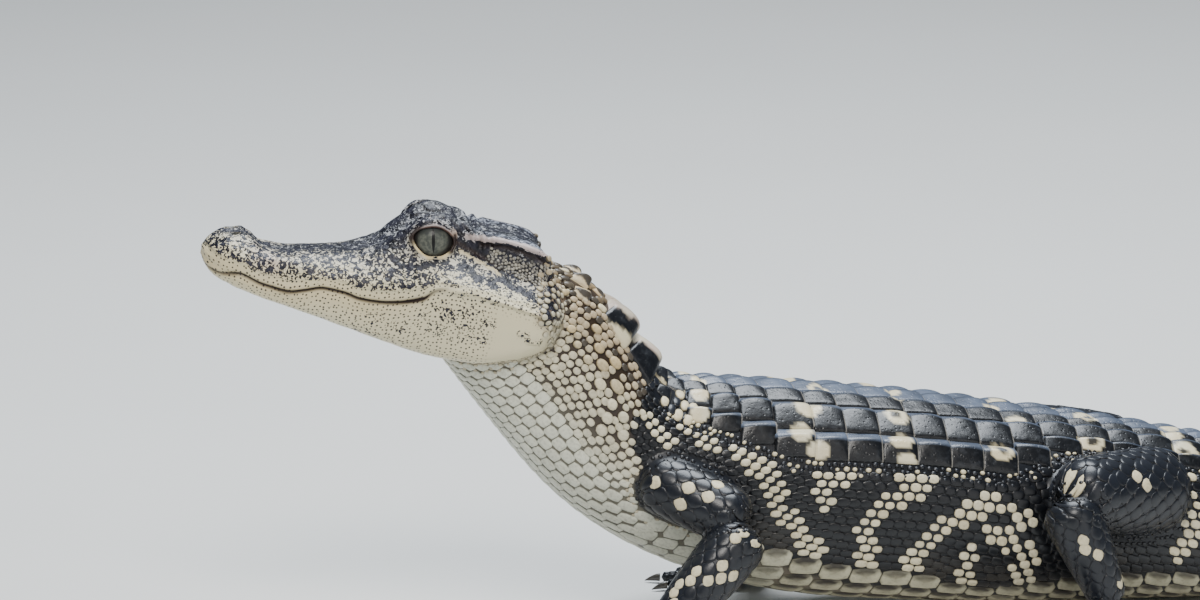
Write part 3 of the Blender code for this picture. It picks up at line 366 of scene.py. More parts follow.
def head_curve(stations, places):
    """Sideways and up places of the head's surface, at corner numbers down the half section.

    Corners run from 0, the top's midline, over 4, the line of the mouth, to 7, the underside's midline.
    The section is a Catmull-Rom curve through them. It shrinks along a quarter circle over the nose and
    again behind the skull.
    """
    nose = np.minimum(stations / NOSE_CAP, 1)
    rear = np.clip((stations - HEAD_BACK) / (HEAD_LENGTH - HEAD_BACK), 0, 1)
    shrink = np.sqrt(np.maximum(1 - (1 - nose) ** 2, 0)) * np.sqrt(np.maximum(1 - rear**2, 0))
    get = {name: read(np.clip(stations, NOSE_CAP * 0.8, HEAD_BACK + 4)) for name, read in HEAD_LINES.items()}
    zero = np.zeros_like(stations)
    side = np.stack([zero, get["edge_w"], get["under_w"], get["cheek_w"], (get["cheek_w"] + get["jaw_w"]) / 2,
                     get["jaw_w"], get["chin_w"], zero], -1) * shrink[:, None]
    rise = np.stack([get["top"], get["edge_h"], get["under_h"], get["cheek_h"], get["lip"], get["jaw_h"],
                     get["chin_h"], get["bottom"]], -1)
    middle = np.where(stations < 0.5 * HEAD_BACK, 0.0, 3.0)[:, None]
    rise = middle + (rise - middle) * shrink[:, None]
    side = np.concatenate([-side[:, 1:2], side, -side[:, -2:-1]], 1)
    rise = np.concatenate([rise[:, 1:2], rise, rise[:, -2:-1]], 1)
    i = np.minimum(np.asarray(places).astype(int), side.shape[1] - 4)
    f = places - i

    def through(c):
        p0, p1, p2, p3 = c[:, i], c[:, i + 1], c[:, i + 2], c[:, i + 3]
        return 0.5 * (2 * p1 + (p2 - p0) * f + (2 * p0 - 5 * p1 + 4 * p2 - p3) * f**2
                      + (3 * p1 - p0 - 3 * p2 + p3) * f**3)

    return through(side), through(rise)


def head_sheet():
    """The plain head as a sheet, from the underside's midline round the right side to the left."""
    s = np.arange(0.4, HEAD_LENGTH - 0.3, HEAD_STEP)
    half = np.linspace(0, 7, 141)
    side, rise = head_curve(s, np.concatenate([half[::-1], half[1:]]))
    side[:, :len(half)] *= -1
    return Sheet(s[0], HEAD_STEP, even_columns(head_place(s[:, None] + 0 * side, side, rise), SHEET_COLUMNS))


# Marks of the head's sides, as (back, distance above the mouth line) down the skin.
MOUTH_DEPTH = line((0, 0.3), (4, 0.7), (20, 0.85), (66, 0.95), (72, 0.7), (75, 0.25), (82, 0.14), (94, 0))
CREASE_LIFT = line((0, -2.6), (5.6, -1.8), (10, -0.2), (13, 0.6), (23, 0.4), (30, 0.1), (41, 0.5),
                   (53, 0.2), (65, 0), (72, -0.2), (75, 1.4), (80, 3.3), (88, 5.6), (94, 6.4), (104, 7))
EYE_STRIPE = ((79, 21.6), (84, 20.5), (88, 19.4), (92, 18.6), (96, 17.0))
EAR_LINE = ((88, 23.0), (92, 23.7), (97, 24.9), (102, 25.0), (107, 24.6), (113, 22.6))
TABLE_RIM = ((83, 24.2), (89.3, 25.2), (95.2, 27.0), (101.4, 27.4), (107.8, 27.0), (112.5, 25.4))
CREAM_STRIPE = ((81.8, 19.0), (85.6, 17.9), (90.6, 16.5), (95.5, 14.8))
DARK_BARS = (
    (((96.3, 14.2), (99.4, 11.5), (103.1, 9.9), (106.7, 8.2)), 1.35),
    (((83.3, 14.1), (85.8, 11.1), (88.9, 8.8)), 1.2),
    (((92.6, 9.3), (93.7, 7.3)), 1.2),
    (((60, 17), (64, 13.5), (70, 12), (77, 13.2)), 0.6),
)


JAW_SQUIGGLE = ((104, -6.5), (107, -6.0), (107.5, -8.5), (111, -8.0), (112, -5.5))


def ear_place(a, above):
    """1 over the beady patch behind the eye, between the ear's line and the corner of the jaw."""
    low = np.interp(a, (88, 94, 104, 112), (19.0, 17.0, 15.5, 14.0))
    return ease(a, 89, 93) * ease(above, low - 1.0, low + 1.0) * (1 - ease(above, 22.5, 24.0))


def nostril_distance(points):
    """How many half widths away the nearest nostril is: an upright bean-shaped hollow on the nose's side."""
    back, sideways, upwards = head_frame(points)
    x, y, z = back - NOSTRIL[0], np.abs(sideways) - NOSTRIL[1], upwards - NOSTRIL[2]
    z = z / np.where(z > 0, 1.4, 4.0)
    return np.sqrt(((x + 0.35 * y) / 1.6) ** 2 + ((y - 0.35 * x) / 1.1) ** 2 + z**2)


def head_rings():
    """The head's detailed surface as rings, with each point's distance above the mouth line and corner.

    Every point of the plain head moves along its normal: in at the mouth, the ear and the nostrils, out
    at the lips, the brow and the rim of the skull table, and a little by random grain all over.
    """
    nose = NOSE_CAP * (1 - np.cos(np.radians(np.linspace(4, 86, 18))))
    rear = HEAD_BACK + (HEAD_LENGTH - HEAD_BACK) * np.sin(np.radians(np.linspace(6, 84, 12)))
    stations = np.concatenate([nose, np.arange(NOSE_CAP, HEAD_BACK, 0.62), rear])
    near = (np.arange(1, 15) / 14) ** 1.7
    places = np.concatenate([np.linspace(0, 3, 36)[:-1], 4 - near[::-1], [4], 4 + near,
                             np.linspace(5, 7, 19)[1:]])
    side, rise = head_curve(stations, places)
    half = head_place(stations[:, None] + 0 * side, side, rise)
    run = np.cumsum(np.linalg.norm(np.diff(half, axis=1, prepend=half[:, :1]), axis=2), axis=1)
    above = run[:, np.argmin(np.abs(places - 4))][:, None] - run
    a = stations[:, None] + 0 * above
    closed = np.concatenate([half[:, 1:2], half, half[:, -2:-1]], axis=1)
    around = closed[:, 2:] - closed[:, :-2]
    normal = -unit(np.cross(np.gradient(half, axis=0), around))
    crease = above - CREASE_LIFT(a)
    lips = 1 - ease(a, 66, 76)
    out = -MOUTH_DEPTH(a) * bell(crease, 0.55)
    out += lips * (0.32 * bell(above - 1.6, 1.0) + 0.2 * bell(above + 1.5, 1.0))
    out += (1 - lips) * 0.3 * bell(crease + 1.6, 1.3) * ease(-a, -96, -86)
    out -= 1.0 * bell(off_line(a, above, EAR_LINE), 0.75)
    out += 0.6 * bell(off_line(a, above, TABLE_RIM), 1.1)
    out -= 0.35 * bell(off_line(a, above, EYE_STRIPE), 0.8)
    nostril = nostril_distance(half)
    out += 0.25 * bell(nostril - 2.2, 0.7) - 1.5 * (1 - ease(nostril, 0.5, 1.6))
    upper = ease(above, 1.5, 5)
    rough = grain(half, 7, 3) * 0.26 + grain(half, 3.0, 4) * 0.28 + grain(half, 1.7, 6) * 0.20
    near_table = bell(off_line(a, above, TABLE_RIM), 2)
    out += rough * upper * (0.45 + 0.55 * ease(above, 12, 22)) * (1 - 0.6 * near_table)
    back, _, upwards = head_frame(half)
    brow = np.hypot((back - EYE[0]) * 0.8, upwards - EYE[2])
    furrows = np.cos(brow * 2.3 + 0.5 * grain(half, 4, 7)) * ease(brow, 8.5, 10) * (1 - ease(brow, 14, 18))
    out += 0.62 * furrows * ease(upwards, EYE[2] - 2, EYE[2] + 3)
    out += 0.10 * grain(half, 2.2, 5) * (1 - upper)
    half = half + normal * out[..., None]
    place = np.stack([a, above, places[None] + 0 * a], axis=-1)
    mirror = head_frame(half)
    right = head_place(mirror[0], -mirror[1], mirror[2])
    rings = np.concatenate([half, right[:, -2:0:-1]], axis=1)
    return rings, np.concatenate([place, place[:, -2:0:-1]], axis=1)


LEGS = {
    "foreleg_left": {"side": -1, "root": (-22, 22, 59), "bend": (9, 45, 45), "end": (-24, 51, 11),
                     "heading": 26},
    "foreleg_right": {"side": 1, "root": (-8, 22, 55), "bend": (31, 40, 50), "end": (36, 43, 11),
                      "heading": 20},
    "hindleg_left": {"side": -1, "root": (162, 20, 42), "bend": (115, 50, 50), "end": (131, 54, 12),
                     "heading": 34},
    "hindleg_right": {"side": 1, "root": (162, 20, 41), "bend": (124, 52, 46), "end": (146, 56, 12),
                      "heading": 30},
}
FORE = {"upper": (11.0, 10.6, 9.8), "lower": (10.2, 10.0, 6.8), "palm": (17, 8.4, 4.8),
        "toes": ((-46, 12, 1.8), (-22, 16, 1.95), (2, 17, 1.95), (26, 15.5, 1.8),
                 (52, 12.5, 1.6)), "web": 0.35}
HIND = {"upper": (15.5, 14.5, 11.6), "lower": (10.8, 9.6, 6.8), "palm": (27, 9.2, 5.0),
        "toes": ((-24, 17, 2.1), (-8, 23, 2.3), (9, 24, 2.2), (28, 19, 1.9)), "web": 0.6}
CLAWED, CLAW_LENGTH, CLAW_GAP, BULGE = 3, 5.2, 0.3, 1.5


def leg_form(name):
    return FORE if name.startswith("fore") else HIND


def leg_point(leg, place):
    return np.array([place[0], place[1] * leg["side"], place[2]], float)


def between(a, b, share):
    return a + (b - a) * share


def limb_rows(name, key, first, last, share, flat):
    """The path of one length of a leg between two of its places, bulging outwards, with half thicknesses."""
    leg, thick = LEGS[name], leg_form(name)[key]
    start, end = leg_point(leg, leg[first]), leg_point(leg, leg[last])
    middle = between(start, end, share) + np.array([0.0, leg["side"] * BULGE, 0.0])
    return [(*start, thick[0], thick[0]), (*middle, thick[1], thick[1]), (*end, thick[2], thick[2] * flat)]


def foot_plan(name):
    """The palm's path, and each toe as its root, heading, length and radius, on the floor.

    The toes' roots stand in a row across the ball of the foot, which is turned outwards.
    """
    leg, form = LEGS[name], leg_form(name)
    reach, wide, high = form["palm"]
    ankle = leg_point(leg, leg["end"])
    turn = math.radians(leg["heading"])
    ahead = np.array([-math.cos(turn), leg["side"] * math.sin(turn), 0.0])
    outwards = np.array([math.sin(turn), leg["side"] * math.cos(turn), 0.0])
    ball = ankle + ahead * reach
    ball[2] = high - 0.3
    heel = ankle + (ankle - ball) * 0.2
    heel[2] = ankle[2] - 1.5
    middle = between(heel, ball, 0.5)
    middle[2] = high * 1.25
    palm = [(*heel, wide * 0.8, high * 1.25), (*middle, wide * 0.88, high), (*ball, wide, high * 0.7)]
    toes = []
    count = len(form["toes"])
    for i, (spread, length, radius) in enumerate(form["toes"]):
        angle = turn + math.radians(spread)
        heading = np.array([-math.cos(angle), leg["side"] * math.sin(angle), 0.0])
        across = (2 * i / (count - 1) - 1) * 0.72 * wide
        toes.append((ball + outwards * across - ahead * abs(across) * 0.35, heading, length, radius))
    return palm, toes


def toe_rows(toe, index):
    """A toe's path: out of the foot, up over a low knuckle and down to its tip on the floor."""
    root, heading, length, radius = toe
    rows = []
    for share, rise, thick in ((-0.1, 1.0, 1.35), (0.45, 1.0 + 0.15 * (index % 3), 1.1), (1.0, 0.55, 0.8)):
        place = root + heading * length * share
        place[2] = radius * (0.72 + 0.55 * rise)
        rows.append((*place, radius * thick, radius * thick))
    return rows


def lobe_sheet(rows, step=0.5, columns=49, root_round=True):
    """A limb piece as a sheet: ellipses carried along a path, shrunk along a quarter circle at round ends."""
    path = Path(rows)
    s = np.linspace(0, path.length, int(path.length / step) + 1)
    centre, _, left, up, size = path.frame(s)
    shrink = np.ones(len(s))
    for rounded, place, edge in ((root_round, s, 0), (True, path.length - s, -1)):
        if rounded:
            cap = size[edge].mean() * 0.8
            shrink *= np.sqrt(np.maximum(1 - np.maximum(1 - place / cap, 0) ** 2, 0.0004))
    turn = np.linspace(-math.pi, math.pi, columns)
    wide, high = (size[:, i, None, None] * shrink[:, None, None] for i in (0, 1))
    side = left[:, None] * np.sin(turn)[:, None] * wide
    grid = centre[:, None] + side + up[:, None] * np.cos(turn)[:, None] * high
    grid[..., 2] = np.maximum(grid[..., 2], 0.0)
    return Sheet(0.0, s[1] - s[0], grid)


SHIFT = (np.array(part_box("eye_left")[0]) + np.array(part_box("eye_left")[1])) / 2 / MM - head_place(*EYE)


def fetch(items, field, size=1, kind=np.float32):
    """A field of a mesh's items as an array, in rows where it holds more than one number."""
    values = np.zeros(len(items) * size, kind)
    items.foreach_get(field, values)
    return values.reshape(-1, size) if size > 1 else values


def put(mesh, label, kind, values, domain="POINT"):
    """Values on the points or faces of a mesh, as a named attribute."""
    field = {"FLOAT_VECTOR": "vector", "FLOAT_COLOR": "color"}.get(kind, "value")
    items = mesh.attributes.new(label, kind, domain).data
    items.foreach_set(field, np.asarray(values, np.int32 if kind == "INT" else np.float32).ravel())


def opaque(colours):
    return np.column_stack([colours, np.ones(len(colours))])


def bare_mesh(name, points, faces):
    """A mesh object from points and arrays of faces. All faces of one array have the same size."""
    points = np.asarray(points, float)
    mesh = bpy.data.meshes.new(name)
    loops = np.concatenate([np.asarray(f).ravel() for f in faces])
    totals = np.concatenate([np.full(len(f), np.shape(f)[1]) for f in faces])
    mesh.vertices.add(len(points))
    mesh.vertices.foreach_set("co", points.astype(np.float32).ravel())
    mesh.loops.add(len(loops))
    mesh.loops.foreach_set("vertex_index", loops.astype(np.int32))
    mesh.polygons.add(len(totals))
    mesh.polygons.foreach_set("loop_start", np.concatenate([[0], np.cumsum(totals)[:-1]]).astype(np.int32))
    mesh.polygons.foreach_set("loop_total", totals.astype(np.int32))
    mesh.update(calc_edges=True)
    made = bpy.data.objects.new(name, mesh)
    bpy.context.scene.collection.objects.link(made)
    return made


def ring_faces(rows, around):
    """Quads between neighbouring rings that close on themselves, wound so that they face outwards."""
    i, j = np.meshgrid(np.arange(rows - 1), np.arange(around), indexing="ij")
    k = (j + 1) % around
    return np.stack([i * around + j, (i + 1) * around + j, (i + 1) * around + k, i * around + k],
                    -1).reshape(-1, 4)


def tube_faces(rows, around):
    """The faces of a tube of rings with a pole at each end: the two poles come after the rings' points."""
    j = np.arange(around)
    k = (j + 1) % around
    last = (rows - 1) * around
    start, end = np.full(around, rows * around), np.full(around, rows * around + 1)
    caps = np.concatenate([np.stack([start, j, k], -1), np.stack([end, last + k, last + j], -1)])
    return [ring_faces(rows, around), caps]


def grid_faces(rows, columns):
    """The quads of a grid of points, and the points of its border in order."""
    i, j = np.meshgrid(np.arange(rows - 1), np.arange(columns - 1), indexing="ij")
    a = (i * columns + j).ravel()
    border = np.concatenate([np.arange(columns), columns * np.arange(1, rows) + columns - 1,
                             (rows - 1) * columns + np.arange(columns - 2, -1, -1),
                             columns * np.arange(rows - 2, 0, -1)])
    return np.stack([a, a + columns, a + columns + 1, a + 1], -1), border


def turned(faces):
    """The faces wound the other way round, each from the same first corner."""
    return np.concatenate([faces[:, :1], faces[:, :0:-1]], axis=1)


def outward(points, faces):
    """The faces of a closed form, turned where the volume they enclose is negative."""
    volume = 0.0
    for group in faces:
        for n in range(1, group.shape[1] - 1):
            a, b, c = points[group[:, 0]], points[group[:, n]], points[group[:, n + 1]]
            volume += np.einsum("ij,ij->i", a, np.cross(b, c)).sum()
    return [turned(group) for group in faces] if volume < 0 else faces


def part_mesh(name, points, faces, place, part):
    """A closed mesh for the skin's union. Faces carry the number of their part, points their place on it."""
    made = bare_mesh(name, points, outward(points, faces))
    put(made.data, "place", "FLOAT_VECTOR", place)
    put(made.data, "part", "INT", np.full(len(made.data.polygons), part), "FACE")
    return made


def capped(rings, start, end):
    """The points and faces of a closed tube of rings between two poles."""
    return np.concatenate([rings.reshape(-1, 3), [start, end]]), tube_faces(*rings.shape[:2])


def closed_tube(name, rings, place, part):
    """A tube for the skin's union, with a pole in the middle of its first and its last ring."""
    places = np.concatenate([place.reshape(-1, 3), place[[0, -1], 0]])
    return part_mesh(name, *capped(rings, rings[0].mean(axis=0), rings[-1].mean(axis=0)), places, part)


def combine(target, operation, others):
    """One Boolean of closed meshes on target, applied, after which the others are removed."""
    tools = bpy.data.collections.new("tools")
    bpy.context.scene.collection.children.link(tools)
    for other in others:
        bpy.context.scene.collection.objects.unlink(other)
        tools.objects.link(other)
    change = target.modifiers.new("join", "BOOLEAN")
    change.operation = operation
    change.operand_type = "COLLECTION"
    change.collection = tools
    change.solver = "MANIFOLD"
    bpy.context.view_layer.update()
    shown = target.evaluated_get(bpy.context.evaluated_depsgraph_get())
    mesh = bpy.data.meshes.new_from_object(shown)
    target.modifiers.clear()
    target.data = mesh
    for other in others:
        bpy.data.objects.remove(other)
    bpy.data.collections.remove(tools)
    return target


# Numbers of the skin's parts, and how far from a seam between two of them the skin is smoothed.
BODY, HEAD, LID, UPPER, LOWER, PALM, TOE = 1, 2, 3, 4, 5, 6, 7
SEAM_REACH = {(BODY, HEAD): 2.2, (HEAD, LID): 0.9, (BODY, UPPER): 7, (BODY, LOWER): 5, (UPPER, LOWER): 4.5,
              (LOWER, PALM): 4, (PALM, TOE): 1.6}
SEAM_STEPS, SEAM_ROUNDS = 30, 26
LID_TOP, LID_LOW, LID_FRONT, LID_REAR, LID_POWER = 42, 38, 64, 60, 1.75
# Folds of the lids from the inner wall over the edge to the outer wall: angle past the edge, height.
LID_PROFILE = (
    (40, 0.10), (24, 0.10), (10, 0.10), (2.5, 0.12), (0.6, 0.30), (0.0, 0.62), (0.8, 0.92), (3.0, 1.08),
    (6.0, 1.02), (9.0, 0.72), (11.0, 0.62), (14, 0.98), (18, 1.28), (23, 1.22), (27, 0.86), (30, 0.74),
    (34, 0.92), (40, 0.80),
)


def lid_edge(turn):
    """Angle of the lids' edge from the eye's outward axis, at each turn from the rear over the top.

    It is an almond: a superellipse whose front corner lies lower than its rear one.
    """
    wide = np.where(np.cos(turn) > 0, LID_REAR, LID_FRONT)
    high = np.where(np.sin(turn) > 0, LID_TOP, LID_LOW)
    shape = np.abs(np.cos(turn) / wide) ** LID_POWER + np.abs(np.sin(turn) / high) ** LID_POWER
    return shape ** (-1 / LID_POWER)


def lids(side):
    """The two eyelids as one closed ring of skin round the eye: a profile of folds carried round the edge.

    A point stands at an angle from the outward axis and a distance over the eyeball, both from the
    profile, so that the ring's inner wall lies just clear of the ball.
    """
    turn = np.linspace(0, 2 * math.pi, 120, endpoint=False)
    tilted = turn + 0.10 * np.cos(turn)
    slope, over = (np.array(column)[:, None] for column in zip(*LID_PROFILE))
    angle = np.radians(lid_edge(turn) + slope)
    fold = np.where(over > 0.2, 0.12 * np.sin(turn * 9 + slope * 0.3) * ease(slope, 6, 20), 0)
    reach = EYE_RADIUS + over * (1 + 0.18 * np.maximum(np.sin(turn), 0)) + fold
    back = EYE[0] + reach * np.sin(angle) * np.cos(tilted)
    rise = EYE[2] + reach * np.sin(angle) * np.sin(tilted)
    points = head_place(back, side * (EYE[1] + reach * np.cos(angle)), rise).reshape(-1, 3)
    faces = [ring_faces(len(LID_PROFILE) + 1, len(turn)) % len(points)]
    place = np.stack(np.broadcast_arrays(slope, turn[None], 0.0), -1).reshape(-1, 3)
    return part_mesh("lids", points, faces, place, LID)


def ball_rings(centre, radius, rings, around):
    """Rings of a sphere about a point of the head's frame, from its outward pole, with polar angles."""
    polar = np.linspace(0, math.pi, rings + 2)[1:-1, None]
    turn = np.linspace(0, 2 * math.pi, around, endpoint=False)
    side = np.sign(centre[1])
    back = centre[0] + radius * np.sin(polar) * np.cos(turn)
    rise = centre[2] + radius * np.sin(polar) * np.sin(turn)
    points = head_place(back, centre[1] + side * radius * np.cos(polar) + 0 * turn, rise)
    return points, np.stack(np.broadcast_arrays(polar, turn[None], 0.0), -1)


def web_between(first, second, share):
    """A thin web of skin between two toes: a flat pentagon with a hollow front edge and a curved top."""
    reach = min(first[2], second[2]) * share
    past = unit(second[0] - first[0]) * 0.5
    a, b = first[0] + first[1] * reach - past, second[0] + second[1] * reach + past
    near_a, near_b = first[0] - first[1] * 2.0 - past, second[0] - second[1] * 2.0 + past
    mid = between(a, b, 0.5) - unit(first[1] + second[1]) * reach * 0.16
    places = (near_a, a, mid, b, near_b)
    rise = (1.6, 0.2, 0.0, 0.2, 1.6)
    points = np.array([(*p[:2], 0.8) for p in places] + [(*p[:2], 2.3 + m) for p, m in zip(places, rise)])
    n = len(places)
    i = np.arange(n)
    j = (i + 1) % n
    faces = [np.array([i, i[::-1] + n]), np.stack([i, i + n, j + n, j], -1)]
    return part_mesh("web", points, outward(points, faces), np.zeros((2 * n, 3)), TOE)


def limb_sheets():
    """The sheets of the legs' parts by leg and part number, each sunk by the height of its scales."""
    sheets = {}
    for name in LEGS:
        palm, toes = foot_plan(name)
        for part, rows, depth in ((UPPER, limb_rows(name, "upper", "root", "bend", 0.5, 1.0), 0.7),
                                  (LOWER, limb_rows(name, "lower", "bend", "end", 0.4, 0.9), 0.6),
                                  (PALM, palm, 0.3)):
            sheets[name, part] = lobe_sheet(rows).sunk(depth)
        for i, toe in enumerate(toes):
            sheets[name, TOE + i] = lobe_sheet(toe_rows(toe, i), 0.4, 25, root_round=False).sunk(0.15)
    return sheets


BODY_SKIN = body_sheet().sunk(COAT)
HEAD_SKIN = head_sheet()
LIMB_SHEETS = limb_sheets()


def skin_union():
    """The whole skin as one closed mesh: body, head, lids, legs, feet, toes and webs, joined."""
    head = closed_tube("head_part", *head_rings(), HEAD)
    sockets, rims = [], []
    for side in (-1, 1):
        centre = (EYE[0], side * EYE[1], EYE[2])
        sockets.append(closed_tube("socket", *ball_rings(centre, EYE_RADIUS + 0.1, 22, 40), HEAD))
        rims.append(lids(side))
    combine(head, "DIFFERENCE", sockets)
    combine(head, "UNION", rims)
    skin = closed_tube("skin", *BODY_SKIN.thinned(2, 80), BODY)
    pieces = [head]
    for (name, part), sheet in LIMB_SHEETS.items():
        every, columns = (3, 36) if part in (UPPER, LOWER) else (2, 24)
        pieces.append(closed_tube("limb", *sheet.thinned(every, columns), min(part, TOE)))
    for name in LEGS:
        toes = foot_plan(name)[1]
        pieces += [web_between(a, b, leg_form(name)["web"]) for a, b in zip(toes[:-1], toes[1:])]
    return combine(skin, "UNION", pieces)


def read_skin(skin):
    """The skin's points, edges and places, and the lowest and the highest part that meet at each point."""
    mesh = skin.data
    points = fetch(mesh.vertices, "co", 3).astype(float)
    place = fetch(mesh.attributes["place"].data, "vector", 3).astype(float)
    part = fetch(mesh.attributes["part"].data, "value", 1, np.int32)
    corner = fetch(mesh.loops, "vertex_index", 1, np.int32)
    of_corner = np.repeat(part, fetch(mesh.polygons, "loop_total", 1, np.int32))
    low, high = np.full(len(points), 99), np.zeros(len(points), int)
    np.minimum.at(low, corner, of_corner)
    np.maximum.at(high, corner, of_corner)
    return points, fetch(mesh.edges, "vertices", 2, np.int32), place, low, high


def neighbour_mean(values, edges, count):
    """The mean over each point's neighbours along the edges."""
    total = np.zeros((count, values.shape[1]))
    number = np.bincount(edges.ravel(), minlength=count)
    for column in range(values.shape[1]):
        total[:, column] = np.bincount(edges[:, 0], values[edges[:, 1], column], count)
        total[:, column] += np.bincount(edges[:, 1], values[edges[:, 0], column], count)
    return total / np.maximum(number, 1)[:, None]


def smooth_seams(points, edges, low, high):
    """Softens the creases where parts meet: points near a seam drift to the mean of their neighbours.

    The drift is full at the seam and eases to none at the reach of that seam, measured along edges.
    """
    length = np.linalg.norm(points[edges[:, 0]] - points[edges[:, 1]], axis=1)
    weight, closest = np.zeros(len(points)), np.full(len(points), FAR)
    for (one, other), reach in SEAM_REACH.items():
        away = np.where((low == one) & (high == other), 0.0, 1e3)
        for _ in range(SEAM_STEPS):
            for a, b in ((0, 1), (1, 0)):
                np.minimum.at(away, edges[:, a], away[edges[:, b]] + length)
        weight = np.maximum(weight, 1 - ease(away, 0, reach))
        closest = np.minimum(closest, away)
    for _ in range(SEAM_ROUNDS):
        points = points + 0.5 * weight[:, None] * (neighbour_mean(points, edges, len(points)) - points)
    return points, closest


def spread(values, missing, edges, rounds, once):
    """Fills the missing points' values in place, from their neighbours, round by round.

    A filled point keeps its value where once is true, and is filled anew in each round where it isn't.
    """
    known = (~missing).astype(float)[:, None]
    for _ in range(rounds):
        share = neighbour_mean(known, edges, len(values))
        filled = neighbour_mean(values * known, edges, len(values)) / np.maximum(share, 1e-6)
        take = missing & (share[:, 0] > 0)
        values[take] = filled[take]
        known[take] = 1.0
        if once:
            missing = missing & ~take


SHIELD_HALF = line((0, 17), (28, 15), (62, 20), (84, 25.5), (97, 29.2), (110, 34.5), (122, 38.9),
                   (134, 40.6), (168, 41), (194, 41), (206, 36), (216, 29), (228, 25), (250, 24), (290, 23))
BELLY_EDGE = line((0, 42), (20, 46), (61, 54), (83, 61), (101, 66), (118, 69), (129, 73), (140, 76),
                  (154, 78.2), (170, 79), (184, 83), (196, 84), (210, 79), (225, 73), (250, 65), (290, 56))
PALE_EDGE = line((0, -20), (20, -8), (50, 8), (56, 12), (60, 27), (63, 37), (70, 43), (97, 62), (111, 72),
                 (125, 78), (150, 88), (180, 92), (300, 78))
FLANK_BANDS = (
    ((103, 36.6), (109, 40.2), (114, 45), (117, 51), (119, 56), (124, 60), (128, 64.5), (131, 69),
     (135, 72.5)),
    ((132, 39.5), (133, 45), (134, 50), (135, 55)),
    ((135, 45), (141, 45)),
    ((160, 47.5), (164, 49.8), (160, 52.6), (154, 56), (149, 60), (148.5, 64), (151, 68), (151.5, 72),
     (152, 77)),
    ((164, 48), (168, 48)),
    ((193, 51.5), (188, 52.5), (183, 57), (177, 60), (175, 64), (171, 67.5), (167, 72), (166.5, 79)),
    ((185.5, 68.5), (186, 74), (187, 80.5)),
    ((193, 61), (198, 62.5), (203, 66.5), (208, 67.3)),
    ((205, 68), (207, 77)),
    ((200, 54), (204, 54.6)),
    ((232, 40), (236, 50), (233, 60)),
    ((262, 30), (266, 42), (262, 54)),
)
SHOULDER_BANDS = (((81, 28.2), (94, 34.9)), ((61, 30.1), (78, 34.8)))
# Cream patches of the plates: place along, place round, half length, and 1 if its heart is dark.
BACK_PATCHES = (
    (88, 0.5, 3.6, 0), (86, 13.5, 3.6, 0), (86, 23.0, 3.2, 0), (137, 1.5, 3.4, 1), (129, 19.4, 4.4, 0),
    (125, 30.3, 3.6, 0), (131, 37.1, 3.2, 0), (164, 5.3, 2.2, 0), (160, 21.3, 3.8, 1), (160, 32.6, 3.4, 0),
    (161, 40.0, 2.8, 0), (198, 1.0, 2.6, 0), (194.5, 33.0, 3.8, 1), (205, 13.0, 3.8, 1), (232, 1.6, 3.4, 1),
    (229, 21.5, 3.8, 1), (262, 5.0, 3.2, 0), (264, 16.0, 3.6, 1),
)
RIGHT_SHIFT = 6.0


def flank_pale(s, v):
    """True where a scale of the flank is cream: near one of the wavy bands that run down the side."""
    s, v = s - np.where(v < 0, RIGHT_SHIFT, 0), np.abs(v)
    flank, shoulder = (np.min([off_line(s, v, band) for band in bands], axis=0)
                       for bands in (FLANK_BANDS, SHOULDER_BANDS))
    return (flank < 3.7) | (shoulder < 2.3)


def back_patch(s, v, points):
    """0 to 1: how cream the plates are. Round patches in cross rows, with ragged edges and dark hearts."""
    s = s - np.where(v < 0, 2.0, 0)
    v = np.abs(v)
    best, heart = np.full(np.shape(s), 9.0), np.zeros(np.shape(s))
    ragged = 0.15 * grain(points, 3.2, 11) + 0.06 * grain(points, 1.1, 12)
    for s0, v0, size, hearted in BACK_PATCHES:
        away = np.hypot((s - s0) / (size * 1.15), (v - v0) / size)
        best = np.minimum(best, away)
        heart = np.maximum(heart, hearted * (1 - ease(away + 2 * ragged, 0.30, 0.46)))
    return (1 - ease(best + ragged, 0.92, 1.04)) * (1 - 0.95 * heart)


# Points round a scale, and the spread and rise of each of its rings.
SCALE_FORMS = {
    "scale": (12, ((1.0, 0.0), (1.0, 0.30), (0.90, 0.70), (0.62, 0.94))),
    "granule": (8, ((1.0, 0.0), (0.97, 0.40), (0.62, 0.88))),
}
SCALE_TURN, SCALE_RIMS = 0.13, (1.0, 0.8, 0.3, 0.0)


def scale_plan(form):
    """Turns round a scale's outline, and the spread and the rise of its rings."""
    around, rings = SCALE_FORMS[form]
    return np.linspace(0, 2 * math.pi, around, endpoint=False) + SCALE_TURN, *np.array(rings).T


class Gathering:
    """Many small closed forms, gathered into one mesh."""

    def __init__(self):
        self.blocks, self.faces, self.count = [], [], 0

    def take(self, points, faces, tones, rims, roots):
        """Adds a block of points, its faces, and each point's tone, rim and places for the chart."""
        self.blocks.append((points, tones, rims, roots))
        self.faces += [self.count + group for group in faces]
        self.count += len(points)

    def make(self, name, finish, slot, lay_out):
        """The piece, with its chart laid out by a function of all the places for it."""
        points, tones, rims, roots = (np.concatenate(column) for column in zip(*self.blocks))
        make_piece(name, points, self.faces, finish, tones, rims, lay_out(roots))


